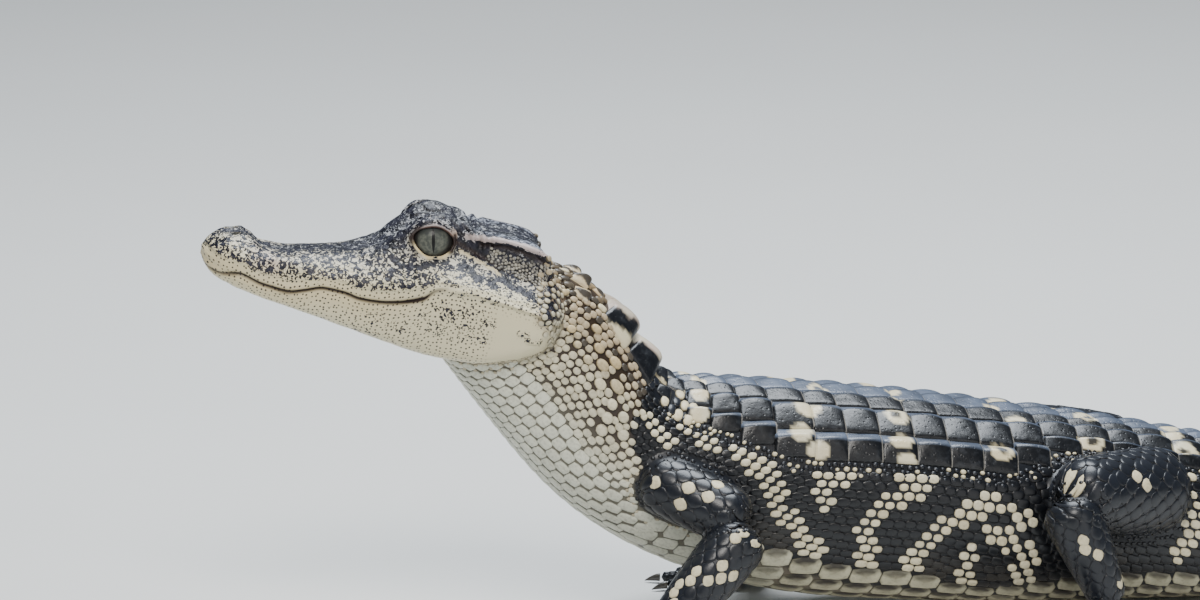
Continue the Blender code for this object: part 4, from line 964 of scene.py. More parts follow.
class Coat(Gathering):
    """A piece of the coat: scales set on sheets of skin."""

    def add(self, sheet, s, v, length, width, height, square, tone, form="scale", chart=(0.0, 0.0),
            lean=0.15):
        """Adds domed scales: superellipses along and across, in rings that rise to a middle point.

        The outline's radius is (|cos|^p + |sin|^p)^(-1/p), with p the squareness of each scale.
        """
        n = len(s)
        if n == 0:
            return
        turn, spreads, rises = scale_plan(form)
        around, count = len(turn), len(spreads)
        length, width, height, square = (np.broadcast_to(np.asarray(x, float), (n,))[:, None, None]
                                         for x in (length, width, height, square))
        c, d = np.cos(turn)[None, None], np.sin(turn)[None, None]
        radius = (np.abs(c) ** square + np.abs(d) ** square) ** (-1 / square)
        x, y = (a * radius * spreads[None, :, None] for a in (c, d))
        h = height * rises[None, :, None] * (1 + lean * x)
        h[:, 0] = -SCALE_ROOT
        none = np.zeros((n, 1))
        x, y, h = (np.concatenate([a.reshape(n, -1), b], axis=1) for a,
                   b in ((x, none), (y, none), (h, height[:, 0])))
        s, v = (np.asarray(a, float)[:, None] for a in (s, v))
        skin, normal = sheet.at(s + x * length[:, 0] / 2, v + y * width[:, 0] / 2)
        size = count * around + 1
        j = np.arange(around)
        top = (count - 1) * around
        fans = np.stack([top + j, top + (j + 1) % around, np.full(around, size - 1)], -1)
        faces = [(size * np.arange(n)[:, None, None] + group[None]).reshape(-1, group.shape[1])
                 for group in (turned(ring_faces(count, around)), fans, j[None, ::-1])]
        tone = np.asarray(tone, float)
        tone = np.broadcast_to(tone[:, None] if tone.ndim == 2 else tone, (n, size, 3))
        rim = np.tile(np.append(np.repeat(SCALE_RIMS[:count], around), 0.0), n)
        roots = np.stack([s + chart[0] + 0 * x, v + chart[1] + 0 * x, x, y], -1)
        self.take((skin + normal * h[..., None]).reshape(-1, 3), faces, tone.reshape(-1, 3), rim,
                  roots.reshape(-1, 4))

    def finish(self, name, slot="skin_dark"):
        def lay_out(roots):
            low = roots[:, :2].min(axis=0)
            extent = (roots[:, :2].max(axis=0) - low).max()
            return 0.01 + 0.97 * (roots[:, :2] - low) / extent + roots[:, 2:] * 0.0015

        self.make(name, COAT_FINISH, slot, lay_out)


def dress(piece, finish, replaces=()):
    """Gives a piece its material, and lets it ride on the body in place of CAD nodes."""
    mesh = piece.data
    mesh.polygons.foreach_set("use_smooth", np.ones(len(mesh.polygons), bool))
    mesh.materials.append(finish)
    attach(piece, "root")
    if replaces:
        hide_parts(*replaces)


def make_piece(name, points, faces, finish, tones=None, rims=None, chart=None, replaces=()):
    """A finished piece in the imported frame, in metres, with its attributes."""
    points = np.array(points, float)
    points[:, 2] = np.maximum(points[:, 2], FLOOR_CLEAR)
    made = bare_mesh(name, (points + SHIFT) * MM, faces)
    mesh = made.data
    if tones is not None:
        put(mesh, "tone", "FLOAT_COLOR", opaque(tones))
        put(mesh, "rim", "FLOAT", rims)
        corner = fetch(mesh.loops, "vertex_index", 1, np.int32)
        mesh.uv_layers.new(name="OFBake").data.foreach_set("uv", chart[corner].astype(np.float32).ravel())
    dress(made, finish, replaces)
    return made


class Shader:
    """A short way to write a node material."""

    def __init__(self, name, **sockets):
        self.material = bpy.data.materials.new(name)
        self.material.use_nodes = True
        self.tree = self.material.node_tree
        self.surface = self.tree.nodes["Principled BSDF"]
        self.set(**sockets)

    def set(self, **sockets):
        """Feeds sockets of the surface, with an underscore for each space in their names."""
        self.feed(self.surface, {key.replace("_", " "): value for key, value in sockets.items()})

    def feed(self, node, sockets):
        for key, value in sockets.items():
            if isinstance(value, bpy.types.NodeSocket):
                self.tree.links.new(value, node.inputs[key])
            elif value is not None:
                node.inputs[key].default_value = value

    def node(self, kind, sockets, output=0, **settings):
        """One output of a new node."""
        made = self.tree.nodes.new(kind)
        for key, value in settings.items():
            setattr(made, key, value)
        self.feed(made, sockets)
        return made.outputs[output]

    def maths(self, operation, *values):
        return self.node("ShaderNodeMath", dict(enumerate(values)), operation=operation)

    def scaled(self, value, factor, plus=0.0):
        return self.maths("MULTIPLY_ADD", value, factor, plus)

    def step(self, value, low, high):
        """0 below low, 1 above high, smooth between."""
        return self.node("ShaderNodeMapRange", {"Value": value, "From Min": low, "From Max": high},
                         interpolation_type="SMOOTHSTEP")

    def blend(self, share, a, b, mode="MIX"):
        return self.node("ShaderNodeMix", {0: share, 6: a, 7: b}, 2, data_type="RGBA", blend_type=mode)

    def attribute(self, name, output="Fac"):
        return self.node("ShaderNodeAttribute", {}, output, attribute_name=name)

    def channels(self, kind, value):
        """The three outputs of a node that separates a colour or a vector."""
        return self.node(kind, {0: value}).node.outputs

    def place(self):
        return self.node("ShaderNodeTexCoord", {}, "Object")

    def noise(self, scale, vector=None, detail=3.0, distortion=0.0):
        sockets = {"Vector": vector or self.place(), "Scale": scale, "Detail": detail,
                   "Distortion": distortion}
        return self.node("ShaderNodeTexNoise", sockets, "Fac")

    def cells(self, scale, vector, feature, randomness=1.0, dimensions="3D"):
        return self.node("ShaderNodeTexVoronoi", {"Vector": vector, "Scale": scale, "Randomness": randomness},
                         "Distance", feature=feature, voronoi_dimensions=dimensions)

    def bump(self, height, strength, distance, normal=None):
        return self.node("ShaderNodeBump", {"Strength": strength, "Distance": distance, "Height": height,
                                            "Normal": normal}, "Normal")


def rgb(colour):
    return (*[float(c) for c in colour], 1.0)


def scale_finish():
    """Horny scales: the tone of each, mottled finely, darker down at the rims, glossier where it is dark."""
    s = Shader("scale_horn", Coat_Weight=0.06, Coat_Roughness=0.2, Specular_IOR_Level=0.38)
    tone = s.attribute("tone", "Color")
    low = s.scaled(s.step(s.attribute("rim"), 0.25, 1.0), 0.72)
    mottle = s.scaled(s.step(s.noise(900.0, detail=4.0), 0.42, 0.75), 0.30)
    shaded = s.blend(low, tone, rgb((0.018, 0.014, 0.010)))
    pale = s.step(s.channels("ShaderNodeSeparateColor", tone)[1], 0.03, 0.35)
    s.set(Base_Color=s.blend(mottle, shaded, rgb((0.16, 0.13, 0.09)), "MULTIPLY"),
          Roughness=s.scaled(s.noise(2600.0), 0.14, s.scaled(pale, 0.16, 0.26)),
          Normal=s.bump(s.noise(1500.0, detail=2.0), 0.25, 0.00012))
    return s.material


def plate_finish():
    """Dorsal plates: blue-black horn with the painted sheen and shade of their tone, finely pitted, with pale
    worn edges and grey dust in the hollows.
    """
    s = Shader("plate_horn", Coat_Weight=0.10, Coat_Roughness=0.16, Specular_IOR_Level=0.4)
    dust = s.scaled(s.step(s.noise(420.0, detail=6.0), 0.48, 0.72), 0.06)
    # The tone holds the painted sheen and painted shade of plate_tone; grey dust is mixed over it.
    dust_and_sheen = s.blend(dust, s.attribute("tone", "Color"), rgb((0.20, 0.22, 0.25)))
    worn = s.scaled(s.step(s.attribute("rim"), 0.45, 0.9), 0.75)
    pits = s.step(s.cells(620.0, s.place(), "F1"), 0.0, 0.34)
    s.set(Base_Color=s.blend(worn, dust_and_sheen, rgb((0.42, 0.39, 0.34))),
          Roughness=s.scaled(s.noise(700.0, detail=5.0), 0.22, 0.24),
          Normal=s.bump(pits, 0.35, 0.0003, s.bump(s.noise(360.0, detail=4.0), 0.35, 0.0005)))
    return s.material


JAW_CELLS = 0.66


def skin_finish():
    """The skin: its tone, dark blotches where the dark share is high, pits on the jaws, and dark lines:
    painted shade in the mouth's crease, the ear's slit and the eyes' corners, and other lines of the lids and
    behind the eye.

    The pits stand at the middles of cells laid out on the unrolled jaw, and the cells' borders are the
    fine grooves between its small flat scales.
    """
    s = Shader("alligator_skin", Roughness=0.36, Coat_Weight=0.05, Coat_Roughness=0.25,
               Specular_IOR_Level=0.32)
    dark, dots, lines = s.channels("ShaderNodeSeparateColor", s.attribute("marks", "Color"))
    plan, where = s.attribute("plan", "Vector"), s.place()
    coarse = s.noise(400.0, where, 1.0)
    blotch = s.scaled(coarse, 0.3, s.scaled(s.noise(820.0, where, 1.2, 1.1), 0.7, -0.67))
    inked = s.step(s.scaled(dark, 0.34, blotch), -0.010, 0.016)
    ink = s.blend(s.step(coarse, 0.38, 0.66), rgb((0.0035, 0.0035, 0.006)), rgb((0.014, 0.014, 0.024)))
    colour = s.blend(s.scaled(inked, s.step(dark, 0.01, 0.12)), s.attribute("tone", "Color"), ink)
    near = s.maths("DIVIDE", s.cells(JAW_CELLS, plan, "F1", 0.6, "2D"),
                   s.scaled(s.noise(330.0, where, 1.0), 0.17, 0.11))
    pit = s.scaled(s.maths("SUBTRACT", 1.0, s.step(near, 0.75, 1.2)), dots)
    colour = s.blend(pit, colour, rgb((0.020, 0.016, 0.018)))
    # lines: painted shade in the mouth's crease, the ear's slit and the eyes' corners, with other dark lines
    # of the lids and behind the eye.
    colour = s.blend(lines, colour, rgb((0.022, 0.012, 0.010)))
    groove = s.scaled(s.step(s.cells(JAW_CELLS, plan, "DISTANCE_TO_EDGE", 0.6, "2D"), 0.0, 0.12), dots)
    wrinkle = s.scaled(s.step(s.cells(640.0, where, "DISTANCE_TO_EDGE"), 0.0, 0.16), s.step(dark, 0.1, 0.6))
    knobs = s.scaled(s.noise(620.0, where, 4.0), s.step(dark, 0.1, 0.5))
    relief = None
    for height, strength, distance in (
        (groove, 0.35, 0.00018), (wrinkle, 0.30, 0.00014), (pit, 0.5, -0.00012), (knobs, 0.8, 0.0009),
        (s.noise(1400.0, where, 3.0), 0.3, 0.00016),
    ):
        relief = s.bump(height, strength, distance, relief)
    s.set(Base_Color=colour, Normal=relief)
    return s.material


def head_marks(a, above, points):
    """Tone, dark share, pits and lines of the head's skin from its place and distance above the mouth.
    Painted shade darkens the mouth's crease, the ear's slit and the nostrils, and a painted sheen lightens
    the skull table.
    """
    top = ease(above, 13, 22)
    tone = mix(CREAM * (0.99, 0.97, 0.90), (0.52, 0.48, 0.38), ease(above, 5, 14))
    tone = mix(tone, (0.27, 0.275, 0.29), ease(above, 16, 24))
    tone = mix(tone, STRAW * 1.05, 0.55 * bell(above + 0.5, 5) * (1 - ease(a, 50, 85)))
    tone = mix(tone, (0.52, 0.40, 0.36), 0.5 * bell(a - 20, 6) * bell(above - 9, 4))
    dark = 0.56 * ease(above, 3.0, 5.2) + 0.20 * top
    dark += 0.10 * (1 - ease(a, 3, 12)) * ease(above, 5, 8) + 0.05 * bell(a - 38, 9)
    dark -= 0.14 * bell(above - 6.5, 2.2) * ease(a, 76, 84)
    lower = ease(-above, 0.5, 2.5)
    bulge = ease(a, 92, 98) * (1 - ease(above, -3.0, 2.0))
    dark += 0.31 * lower * ease(a, 70, 80) * (1 - ease(-above, 11.0, 17.0))
    dark += (0.20 * lower * ease(a, 34, 60) * ease(-above, 2.5, 6)
             * (1 - ease(-above, 12, 17)) * (1 - ease(a, 70, 80)))
    dark += 0.28 * ease(a, 76, 84) * ease(above, -1, 1) * (1 - ease(above, 2, 5))
    dark *= 1 - bulge * 0.9
    dark += 0.5 * bell(off_line(a, above, JAW_SQUIGGLE), 0.8)
    rear = ease(a, 107, 112) * ease(above, -4, 2)
    dark += (0.75 - dark) * rear
    tone = mix(tone, (0.24, 0.17, 0.11), rear)
    dark += (0.75 - dark) * 0.9 * ear_place(a, above)
    # Painted sheen: the top of the skull table is painted a paler blue-grey, with fewer dark blotches.
    table = ease(a, 82, 90) * ease(above, 27.5, 29.5)
    tone = mix(tone, (0.27, 0.29, 0.34), table * (1 - ease(above, 33, 38)))
    dark -= 0.22 * table * (1 - ease(above, 31, 36)) * (1 - rear)
    for bar, wide in DARK_BARS:
        away = off_line(a, above, bar) + 0.5 * grain(points, 1.8, 21)
        dark += 0.6 * (1 - ease(away, wide * 0.7, wide * 1.5))
    dark += 0.9 * (1 - ease(off_line(a, above, EYE_STRIPE), 0.7, 1.7))
    dark += 0.9 * (1 - ease(off_line(a, above, EAR_LINE), 1.0, 2.0))
    cream = (1 - ease(off_line(a, above, CREAM_STRIPE) + 0.25 * grain(points, 1.5, 22), 0.35, 1.0))
    rim = 1 - ease(off_line(a, above, TABLE_RIM) + 0.2 * grain(points, 2.6, 23), 0.7, 1.5)
    tone = mix(tone, STRAW, 0.8 * cream)
    tone = mix(tone, (0.42, 0.33, 0.30), 0.75 * rim)
    dark = dark * (1 - 0.9 * cream) * (1 - 0.88 * rim * (1 - rear))
    dots = (1 - ease(above, 5.0, 8.0)) * (1 - bulge)
    crease = above - CREASE_LIFT(a)
    # Painted shade: dark lines in the mouth's crease, deepest where the crease is deepest, at the mouth's
    # corner and in the ear's slit.
    lines = bell(crease, 0.75) * np.clip(MOUTH_DEPTH(a) * 1.25, 0, 1)
    lines += 0.35 * bell(crease - 0.1, 1.2) * ease(a, 64, 70) * (1 - ease(a, 75, 80))
    lines += 0.9 * bell(off_line(a, above, EYE_STRIPE), 0.75) + 0.8 * bell(off_line(a, above, EAR_LINE), 0.7)
    # Painted shade: the nostrils' hollows are painted near black.
    nostril_shade = 1 - ease(nostril_distance(points), 1.2, 1.8)
    tone = mix(tone, BLACK * 0.1, nostril_shade)
    return np.column_stack([tone, np.clip(dark, 0, 1) * (1 - nostril_shade), np.clip(dots, 0, 1),
                            np.clip(lines, 0, 1)])


def lid_marks(points):
    """Tone, dark share and lines of the lids, from the angle past the lids' edge and the turn round it. The
    lines in the eye's front and rear corners are painted shade.
    """
    back, sideways, upwards = head_frame(points)
    side = np.abs(sideways) - EYE[1]
    dx, dz = back - EYE[0], upwards - EYE[2]
    turn = np.arctan2(dz, dx)
    past = np.degrees(np.arctan2(np.hypot(dx, dz), side)) - lid_edge(turn)
    upper = ease(np.sin(turn), -0.15, 0.25)
    rear = ease(np.cos(turn), 0.55, 0.9)
    tone = mix((0.46, 0.43, 0.35), (0.34, 0.33, 0.33), upper)
    tone = mix(tone, (0.50, 0.37, 0.27), upper * rear * 0.8)
    margin = 1 - ease(past, 1.5, 4.0)
    tone = mix(tone, mix(STRAW * 1.1, (0.13, 0.07, 0.055), upper), margin)
    tone = mix(tone, (0.40, 0.27, 0.22), upper * bell(past - 7, 2.6) * 0.8)
    dark = (0.50 + 0.16 * upper - 0.25 * upper * rear) * ease(past, 3.5, 8)
    # behind and before: painted shade in the eye's rear and front corners.
    behind = ease(np.cos(turn - 0.05), 0.82, 0.95) * (1 - ease(past, 14, 24))
    before = ease(-np.cos(turn + 0.2), 0.80, 0.95) * (1 - ease(past, 9, 18))
    lines = behind + 0.9 * before + 0.8 * upper * (1 - ease(past, 0.0, 2.5))
    lines += 0.6 * (1 - upper) * bell(past - 13, 1.6)
    return np.column_stack([tone, dark, 0 * past, np.clip(lines, 0, 1)])


def body_gap_tone(s, v, points):
    """Colour of the skin that shows between the body's scales."""
    v = np.abs(v)
    pale = ease(v - PALE_EDGE(s), -1.5, 2.5)
    brown = mix((0.036, 0.024, 0.015), (0.15, 0.14, 0.105), ease(v, 38, 62))
    brown = mix(brown, (0.13, 0.11, 0.08), ease(s, 110, 130))
    return mix(np.broadcast_to(BLACK * 0.5, points.shape), brown, pale)


def make_skin():
    """The skin over the whole body, smoothed at its seams, with its tones and marks on its points."""
    skin = skin_union()
    points, edges, place, low, high = read_skin(skin)
    spread(place, (np.abs(place).sum(axis=1) < 1e-6) | (low != high), edges, 3, once=True)
    points, seam = smooth_seams(points, edges, low, high)
    a, above, _ = place.T
    painted = np.zeros((len(points), 6))
    painted[:, :3] = BLACK
    k = high == HEAD
    painted[k] = head_marks(a[k], above[k], points[k])
    k = high == LID
    painted[k] = lid_marks(points[k])
    k = high == BODY
    painted[k, :3] = body_gap_tone(a[k], above[k], points[k])
    spread(painted, (low == BODY) & (high == HEAD), edges, 6, once=False)
    mesh = skin.data
    for label in ("place", "part"):
        mesh.attributes.remove(mesh.attributes[label])
    put(mesh, "tone", "FLOAT_COLOR", opaque(painted[:, :3]))
    put(mesh, "marks", "FLOAT_COLOR", opaque(painted[:, 3:]))
    put(mesh, "plan", "FLOAT_VECTOR", np.where((high == HEAD)[:, None], place * (1, 1, 0), points))
    points[:, 2] = np.maximum(points[:, 2], FLOOR_CLEAR)
    mesh.vertices.foreach_set("co", ((points + SHIFT) * MM).astype(np.float32).ravel())
    mesh.update()
    mesh.materials.clear()
    flesh = [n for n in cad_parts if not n.startswith("eye") and "claw" not in n]
    dress(skin, skin_finish(), flesh)
    return skin, points, fetch(mesh.vertex_normals, "vector", 3), low, high, seam, place


def skin_finder(skin):
    """Reads how far places in the design frame are from the finished skin, and its normal there."""
    mesh = skin.data
    mesh.calc_loop_triangles()
    corners = fetch(mesh.loop_triangles, "vertices", 3, np.int32)
    points = fetch(mesh.vertices, "co", 3) / MM - SHIFT
    tree = BVHTree.FromPolygons([Vector(p) for p in points], [tuple(t) for t in corners.tolist()])

    def clear(sheet, s, v, off=0.5, facing=0.75):
        """True for places of a sheet that lie on the finished skin and aren't buried in another part."""
        where, normal = sheet.at(np.asarray(s, float), np.asarray(v, float))
        keep = np.zeros(len(where), bool)
        for i, (p, n) in enumerate(zip(where, normal)):
            _, found, _, away = tree.find_nearest(Vector(p))
            keep[i] = away < off and found.dot(Vector(n)) > facing
        return keep

    return clear


def rows_and_columns(starts, lengths, tops, bottoms, count, stagger=0.5):
    """Places of scales in cross rows: each row at its own length, with its scales from top to bottom.

    Every other line of scales along the body is moved by a share of the row's length.
    """
    line_number = np.arange(count)
    s = starts[:, None] + lengths[:, None] * (0.5 + stagger * (line_number % 2)[None])
    share = (line_number + 0.5) / count
    v = tops(s) + (bottoms(s) - tops(s)) * share[None]
    width = (bottoms(s) - tops(s)) / count
    return s, v, width, np.broadcast_to(lengths[:, None], s.shape), np.broadcast_to(line_number, s.shape)


def pitch_rows(start, end, pitch):
    """Starts and lengths of rows, each as long as the pitch at its start."""
    starts, lengths = [], []
    s = start
    while s < end:
        step = float(pitch(s))
        starts.append(s)
        lengths.append(step)
        s += step
    return np.array(starts), np.array(lengths)


def jitter(count, amount, seed):
    return np.random.default_rng(seed).uniform(-amount, amount, count)


TOP_GAP = line((0, -3), (60, 1), (84, 3.4), (290, 2))


def flank_top(s):
    """Where the flank's rows begin, just outside the plates."""
    return SHIELD_HALF(s) + TOP_GAP(s)


FLANK_PITCH = line((0, 2.5), (40, 3.1), (62, 3.4), (95, 3.6), (125, 3.9), (290, 4.2))
# Zones of the flank: start, end, lines of scales.
FLANK_ZONES = ((3.0, 60, 13), (60, 102, 12), (102, TAIL_START - 3, 11))
# Large ovals on the side of the neck: place along, place round, length, width. OVAL_ROOM is kept round them.
NECK_OVALS = (
    (15, 16.4, 3.4, 2.8), (24, 27.2, 3.4, 2.8), (29, 30.2, 3.0, 2.6), (35, 31.6, 3.6, 3.0),
    (35.5, 26, 4.2, 3.2), (40, 29.3, 5.0, 3.6), (43, 25.2, 5.2, 3.6), (48.5, 30.6, 6.2, 3.9),
    (43.5, 34.3, 4.6, 3.6), (51, 35.9, 4.2, 3.6), (57, 36, 4.4, 3.6), (53, 40, 4.4, 3.8),
    (61, 40.2, 4.4, 3.8), (54.5, 44, 4.4, 3.8), (31, 21.5, 4.2, 3.0),
)
OVAL_ROOM = 0.45


def flank_scales(clear):
    """Rows of oval scales down each side of neck and trunk, from the plates to the belly."""
    for side, name in ((1, "left"), (-1, "right")):
        coat, zones = Coat(), []
        for start, end, columns in FLANK_ZONES:
            rows = pitch_rows(start, end, FLANK_PITCH)
            zone = [x.ravel() for x in rows_and_columns(*rows, flank_top, BELLY_EDGE, columns)]
            zones.append([*zone[:4], zone[4] * 10 / columns])
        s, v, width, length, number = (np.concatenate(x) for x in zip(*zones))
        neck = 1 - ease(s, 56, 74)
        s = s + jitter(len(s), 0.45, 5) * (0.35 + 0.65 * neck)
        v = v + jitter(len(s), 0.35, 6) * (0.3 + 0.7 * neck)
        keep = clear(BODY_SKIN, s, v * side)
        for s0, v0, long, wide in NECK_OVALS:
            keep &= np.hypot((s - s0) / (long / 2 + OVAL_ROOM), (v - v0) / (wide / 2 + OVAL_ROOM)) > 1
        s, v, width, length, number, neck = (x[keep] for x in (s, v, width, length, number, neck))
        n = len(s)
        points, _ = BODY_SKIN.at(s, v * side)
        pale = v > PALE_EDGE(s) + 1.5 * grain(points, 6, 31)
        band = flank_pale(s, v * side)
        size = 1 + jitter(n, 0.10, 7) + 0.1 * grain(points, 9, 32)
        low = ease(number, 5.5, 9)
        brown = 0.6 * low * (grain(points, 14, 33) > 0.0)
        tone = mix(np.broadcast_to(BLACK * 0.38, (n, 3)), UMBER * 0.5, brown)
        tone = np.where(band[:, None], mix(CREAM, STRAW, 0.25 + 0.2 * grain(points, 8, 34)), tone)
        side_of_neck = mix(mix(TAN * (1.1, 1.2, 1.4), CREAM * 0.9, ease(v, 20, 38)), THROAT, ease(v, 42, 60))
        odd = (jitter(n, 1, 8) > 0.45) & (v < 30) & (s < 62)
        side_of_neck = np.where(odd[:, None], UMBER * 1.2, side_of_neck)
        tone = np.where(pale[:, None], side_of_neck, tone) * (1 + jitter(n, 0.10, 9))[:, None]
        throat = pale * ease(v, 40, 58)
        plain = (~pale & ~band) * (1 - neck)
        shown = np.where(pale | ~band, 0.96, 0.88)
        square = 2.3 + 1.1 * plain + 0.4 * band * (1 - neck) + 0.9 * low * (1 - neck) + 1.6 * throat
        coat.add(BODY_SKIN, s, v * side, length * (shown + 0.18 * plain + 0.08 * low * band) * size,
                 width * (shown - 0.01 + 0.02 * throat) * size, (0.80 - 0.35 * throat - 0.35 * plain) * size,
                 square, tone)
        s, v, long, wide = np.array(NECK_OVALS).T
        tone = mix(mix(TAN, STRAW, 0.5), CREAM, ease(v, 26, 38)) * (1 + jitter(len(s), 0.1, 12))[:, None]
        coat.add(BODY_SKIN, s, v * side, long, wide, 1.35, 2.1, tone)
        coat.finish("flank_scales_" + name)


# Lines of beads beside the plates: distance from their edge, and pitch.
EDGE_BEADS = ((0.9, 2.3), (2.7, 2.7), (4.4, 2.9))


def shield_granules(clear):
    """Small beads along the edge of the plates, three uneven lines a side, some of them cream."""
    coat = Coat()
    for side, (k, (off, pitch)) in itertools.product((1, -1), enumerate(EDGE_BEADS)):
        s = np.arange(70, TAIL_START - 6, pitch)
        s = s + jitter(len(s), 0.5, 40 + k)
        v = SHIELD_HALF(s) + off + jitter(len(s), 0.35, 50 + k)
        keep = clear(BODY_SKIN, s, v * side)
        s, v = s[keep], v[keep]
        points, _ = BODY_SKIN.at(s, v * side)
        pale = grain(points, 9, 60 + k) + 0.7 * jitter(len(s), 1, 61 + k) > 0.35
        tone = np.where(pale[:, None], mix(CREAM, STRAW, 0.4), BLACK)
        size = 1 + jitter(len(s), 0.22, 62 + k)
        coat.add(BODY_SKIN, s, v * side, 1.9 * size, 1.6 * size, 0.7, 2.1, tone, "granule")
    coat.finish("shield_granules")


BELLY_PITCH = line((0, 3.3), (40, 4.5), (84, 5.6), (110, 8.4), (132, 10.4), (290, 10.4))
# Zones of the belly: start, end, lines of scales a side, and how far every other line is moved.
BELLY_ZONES = ((2.0, 84, 7, 0.5), (84, TAIL_START - 4, 5, 0.0))


def belly_scales(clear):
    """Rectangular scales in cross rows: seven lines a side under throat and chest, five under the belly.

    Each belly scale has a brown blotch at its front edge, an oval that fades towards the flank.
    """
    coat = Coat()
    turn, spreads, _ = scale_plan("scale")
    x, y = (np.append(np.outer(spreads, wave(turn)), 0.0) for wave in (np.cos, np.sin))
    blotch = 1 - ease(np.hypot((x + 0.1) / 0.85, (y + 0.62) / 0.75), 0.62, 1.0)
    for side, (start, end, columns, stagger) in itertools.product((1, -1), BELLY_ZONES):
        s, v, width, length, number = (a.ravel() for a in rows_and_columns(
            *pitch_rows(start, end, BELLY_PITCH), BELLY_EDGE, BODY_SKIN.half_girth, columns, stagger))
        number = number * 5 / columns
        s = s - 0.28 * length * (number / 4)
        keep = clear(BODY_SKIN, np.clip(s, 2.5, None), v * side) & (s > 2.5)
        s, v, width, length, number = (a[keep] for a in (s, v, width, length, number))
        points, _ = BODY_SKIN.at(s, v * side)
        trunk = ease(s, 108, 130)
        tone = mix(THROAT, BELLY, trunk)
        tone = tone * (1 + 0.06 * grain(points, 12, 70) + jitter(len(s), 0.05, 71))[:, None]
        amount = trunk * (1 - ease(number, 1.6, 4.6)) * (1.05 + 0.4 * grain(points, 11, 72))
        brown = np.clip(amount[:, None] * blotch, 0, 1)
        tones = mix(np.repeat(tone[:, None], len(x), axis=1), UMBER * 0.55, brown)
        coat.add(BODY_SKIN, s, v * side, length * 0.98, width * 0.97, 0.48, 6.0, tones, lean=0.25)
    coat.finish("belly_scales", "skin_pale")


class Plates(Gathering):
    """A piece made of large keeled plates, each a grid over its own patch of the back."""

    def add(self, s, v, length, width, keel, lift, lean=0.0, slope=1.7, narrow=0.0, tone=None, grid=12,
            bow=0.38, crest=0.0, shelf=0.0):
        """One plate. Its height over the skin is a lift that grows rearwards, plus a keel along its middle.

        The keel is a bow from front to rear, and falls off sideways as (1 - |across|) to a power, so that
        its two faces are hollow. lean carries high points rearwards, narrow draws the front in, and crest
        moves the keel off the middle, by a share of the half width. shelf keeps the inner face high.
        """
        u, w = np.meshgrid(np.linspace(0, 1, grid), np.linspace(-1, 1, grid + 1), indexing="ij")
        ridge = bow + (1 - bow) * np.sin(math.pi * np.clip(u * 0.9 + 0.07, 0, 1)) ** 0.8
        beside = np.where(w < crest, (crest - w) / (1 + crest), (w - crest) / (1 - crest))
        outer = (w - crest) * np.sign(v)
        beside = beside * np.where(outer < 0, 1 - shelf, 1.0)
        height = lift * (0.30 + 0.55 * u) + keel * ridge * (1 - np.clip(beside, 0, 1)) ** slope
        height -= 0.30 * lift * np.abs(w) ** 10 + 0.35 * lift * u**14
        place_s = s + (u - 0.5) * length + lean * height
        place_v = v + w * (width * (1 - narrow * (1 - u) ** 1.5)) / 2
        skin, normal = BODY_SKIN.at(place_s, place_v)
        quads, border = grid_faces(*u.shape)
        top, low = ((skin + normal * h).reshape(-1, 3) for h in (height[..., None], -PLATE_ROOT))
        points = np.concatenate([top, low[border]])
        below = u.size + np.arange(len(border))
        walls = np.stack([border, np.roll(border, -1), np.roll(below, -1), below], -1)
        all_s, all_v, grown, across = (np.append(x, x.ravel()[border]) for x in (place_s, place_v, u, outer))
        edge = np.maximum(ease(u, 0.93, 1.0), 0.35 * ease(np.abs(w), 0.93, 1.0) * ease(u, 0.3, 0.8))
        self.take(points, outward(points, [quads, walls, below[None, ::-1]]),
                  tone(grown, across, points) if tone else plate_tone(all_s, all_v, points, across),
                  np.append(edge, edge.ravel()[border] * 0.5), np.stack([all_s, all_v], -1))

    def finish(self, name, slot="skin_dark"):
        def lay_out(roots):
            low = roots.min(axis=0)
            return 0.01 + 0.98 * (roots - low) / (roots.max(axis=0) - low)

        self.make(name, PLATE_FINISH, slot, lay_out)


def plate_tone(s, v, points, across):
    """Blue-black horn, with a painted sky sheen on the face above each keel and painted shade on the face
    below it, and cream patches in cross rows.
    """
    # Painted sheen: the face on the midline side of each keel is painted blue-grey. Painted shade: the outer
    # face is painted near black.
    dust_and_sheen = np.array((0.070, 0.088, 0.125)) * (1 + 0.35 * grain(points, 5, 80))[:, None]
    base = mix(dust_and_sheen, np.broadcast_to(BLACK * 0.22, points.shape), ease(across, -0.04, 0.12))
    cream = mix(CREAM, STRAW, 0.35 + 0.35 * grain(points, 4, 81))
    return mix(base, cream, back_patch(s, v, points))


# From the midline outwards: each plate's share of the half width, and its keel and where that stands.
PLATE_SHARES = (0.345, 0.38, 0.275)
PLATE_KEELS = ((2.1, -0.05), (2.5, -0.30), (2.2, -0.35))


def back_plates():
    """The armour of the back: cross rows of six keeled plates that narrow towards shoulders and hips."""
    plates = Plates()
    for front, rear in zip(PLATE_SEAMS[:-1], PLATE_SEAMS[1:]):
        s = (front + rear) / 2
        edges = np.concatenate([[0], np.cumsum(np.array(PLATE_SHARES) * float(SHIELD_HALF(s)))])
        for (k, (keel, crest)), side in itertools.product(enumerate(PLATE_KEELS), (1, -1)):
            middle = side * (edges[k] + edges[k + 1]) / 2
            shift = 0.35 * grain(np.array([s * 3.1, middle * 2.7, 0.0]), 1.0, 82)
            plates.add(s + shift, middle, (rear - front) * 1.05, (edges[k + 1] - edges[k]) * 0.965, keel,
                       1.35 - 0.12 * k, slope=1.35, crest=crest * side)
    plates.finish("back_plates")


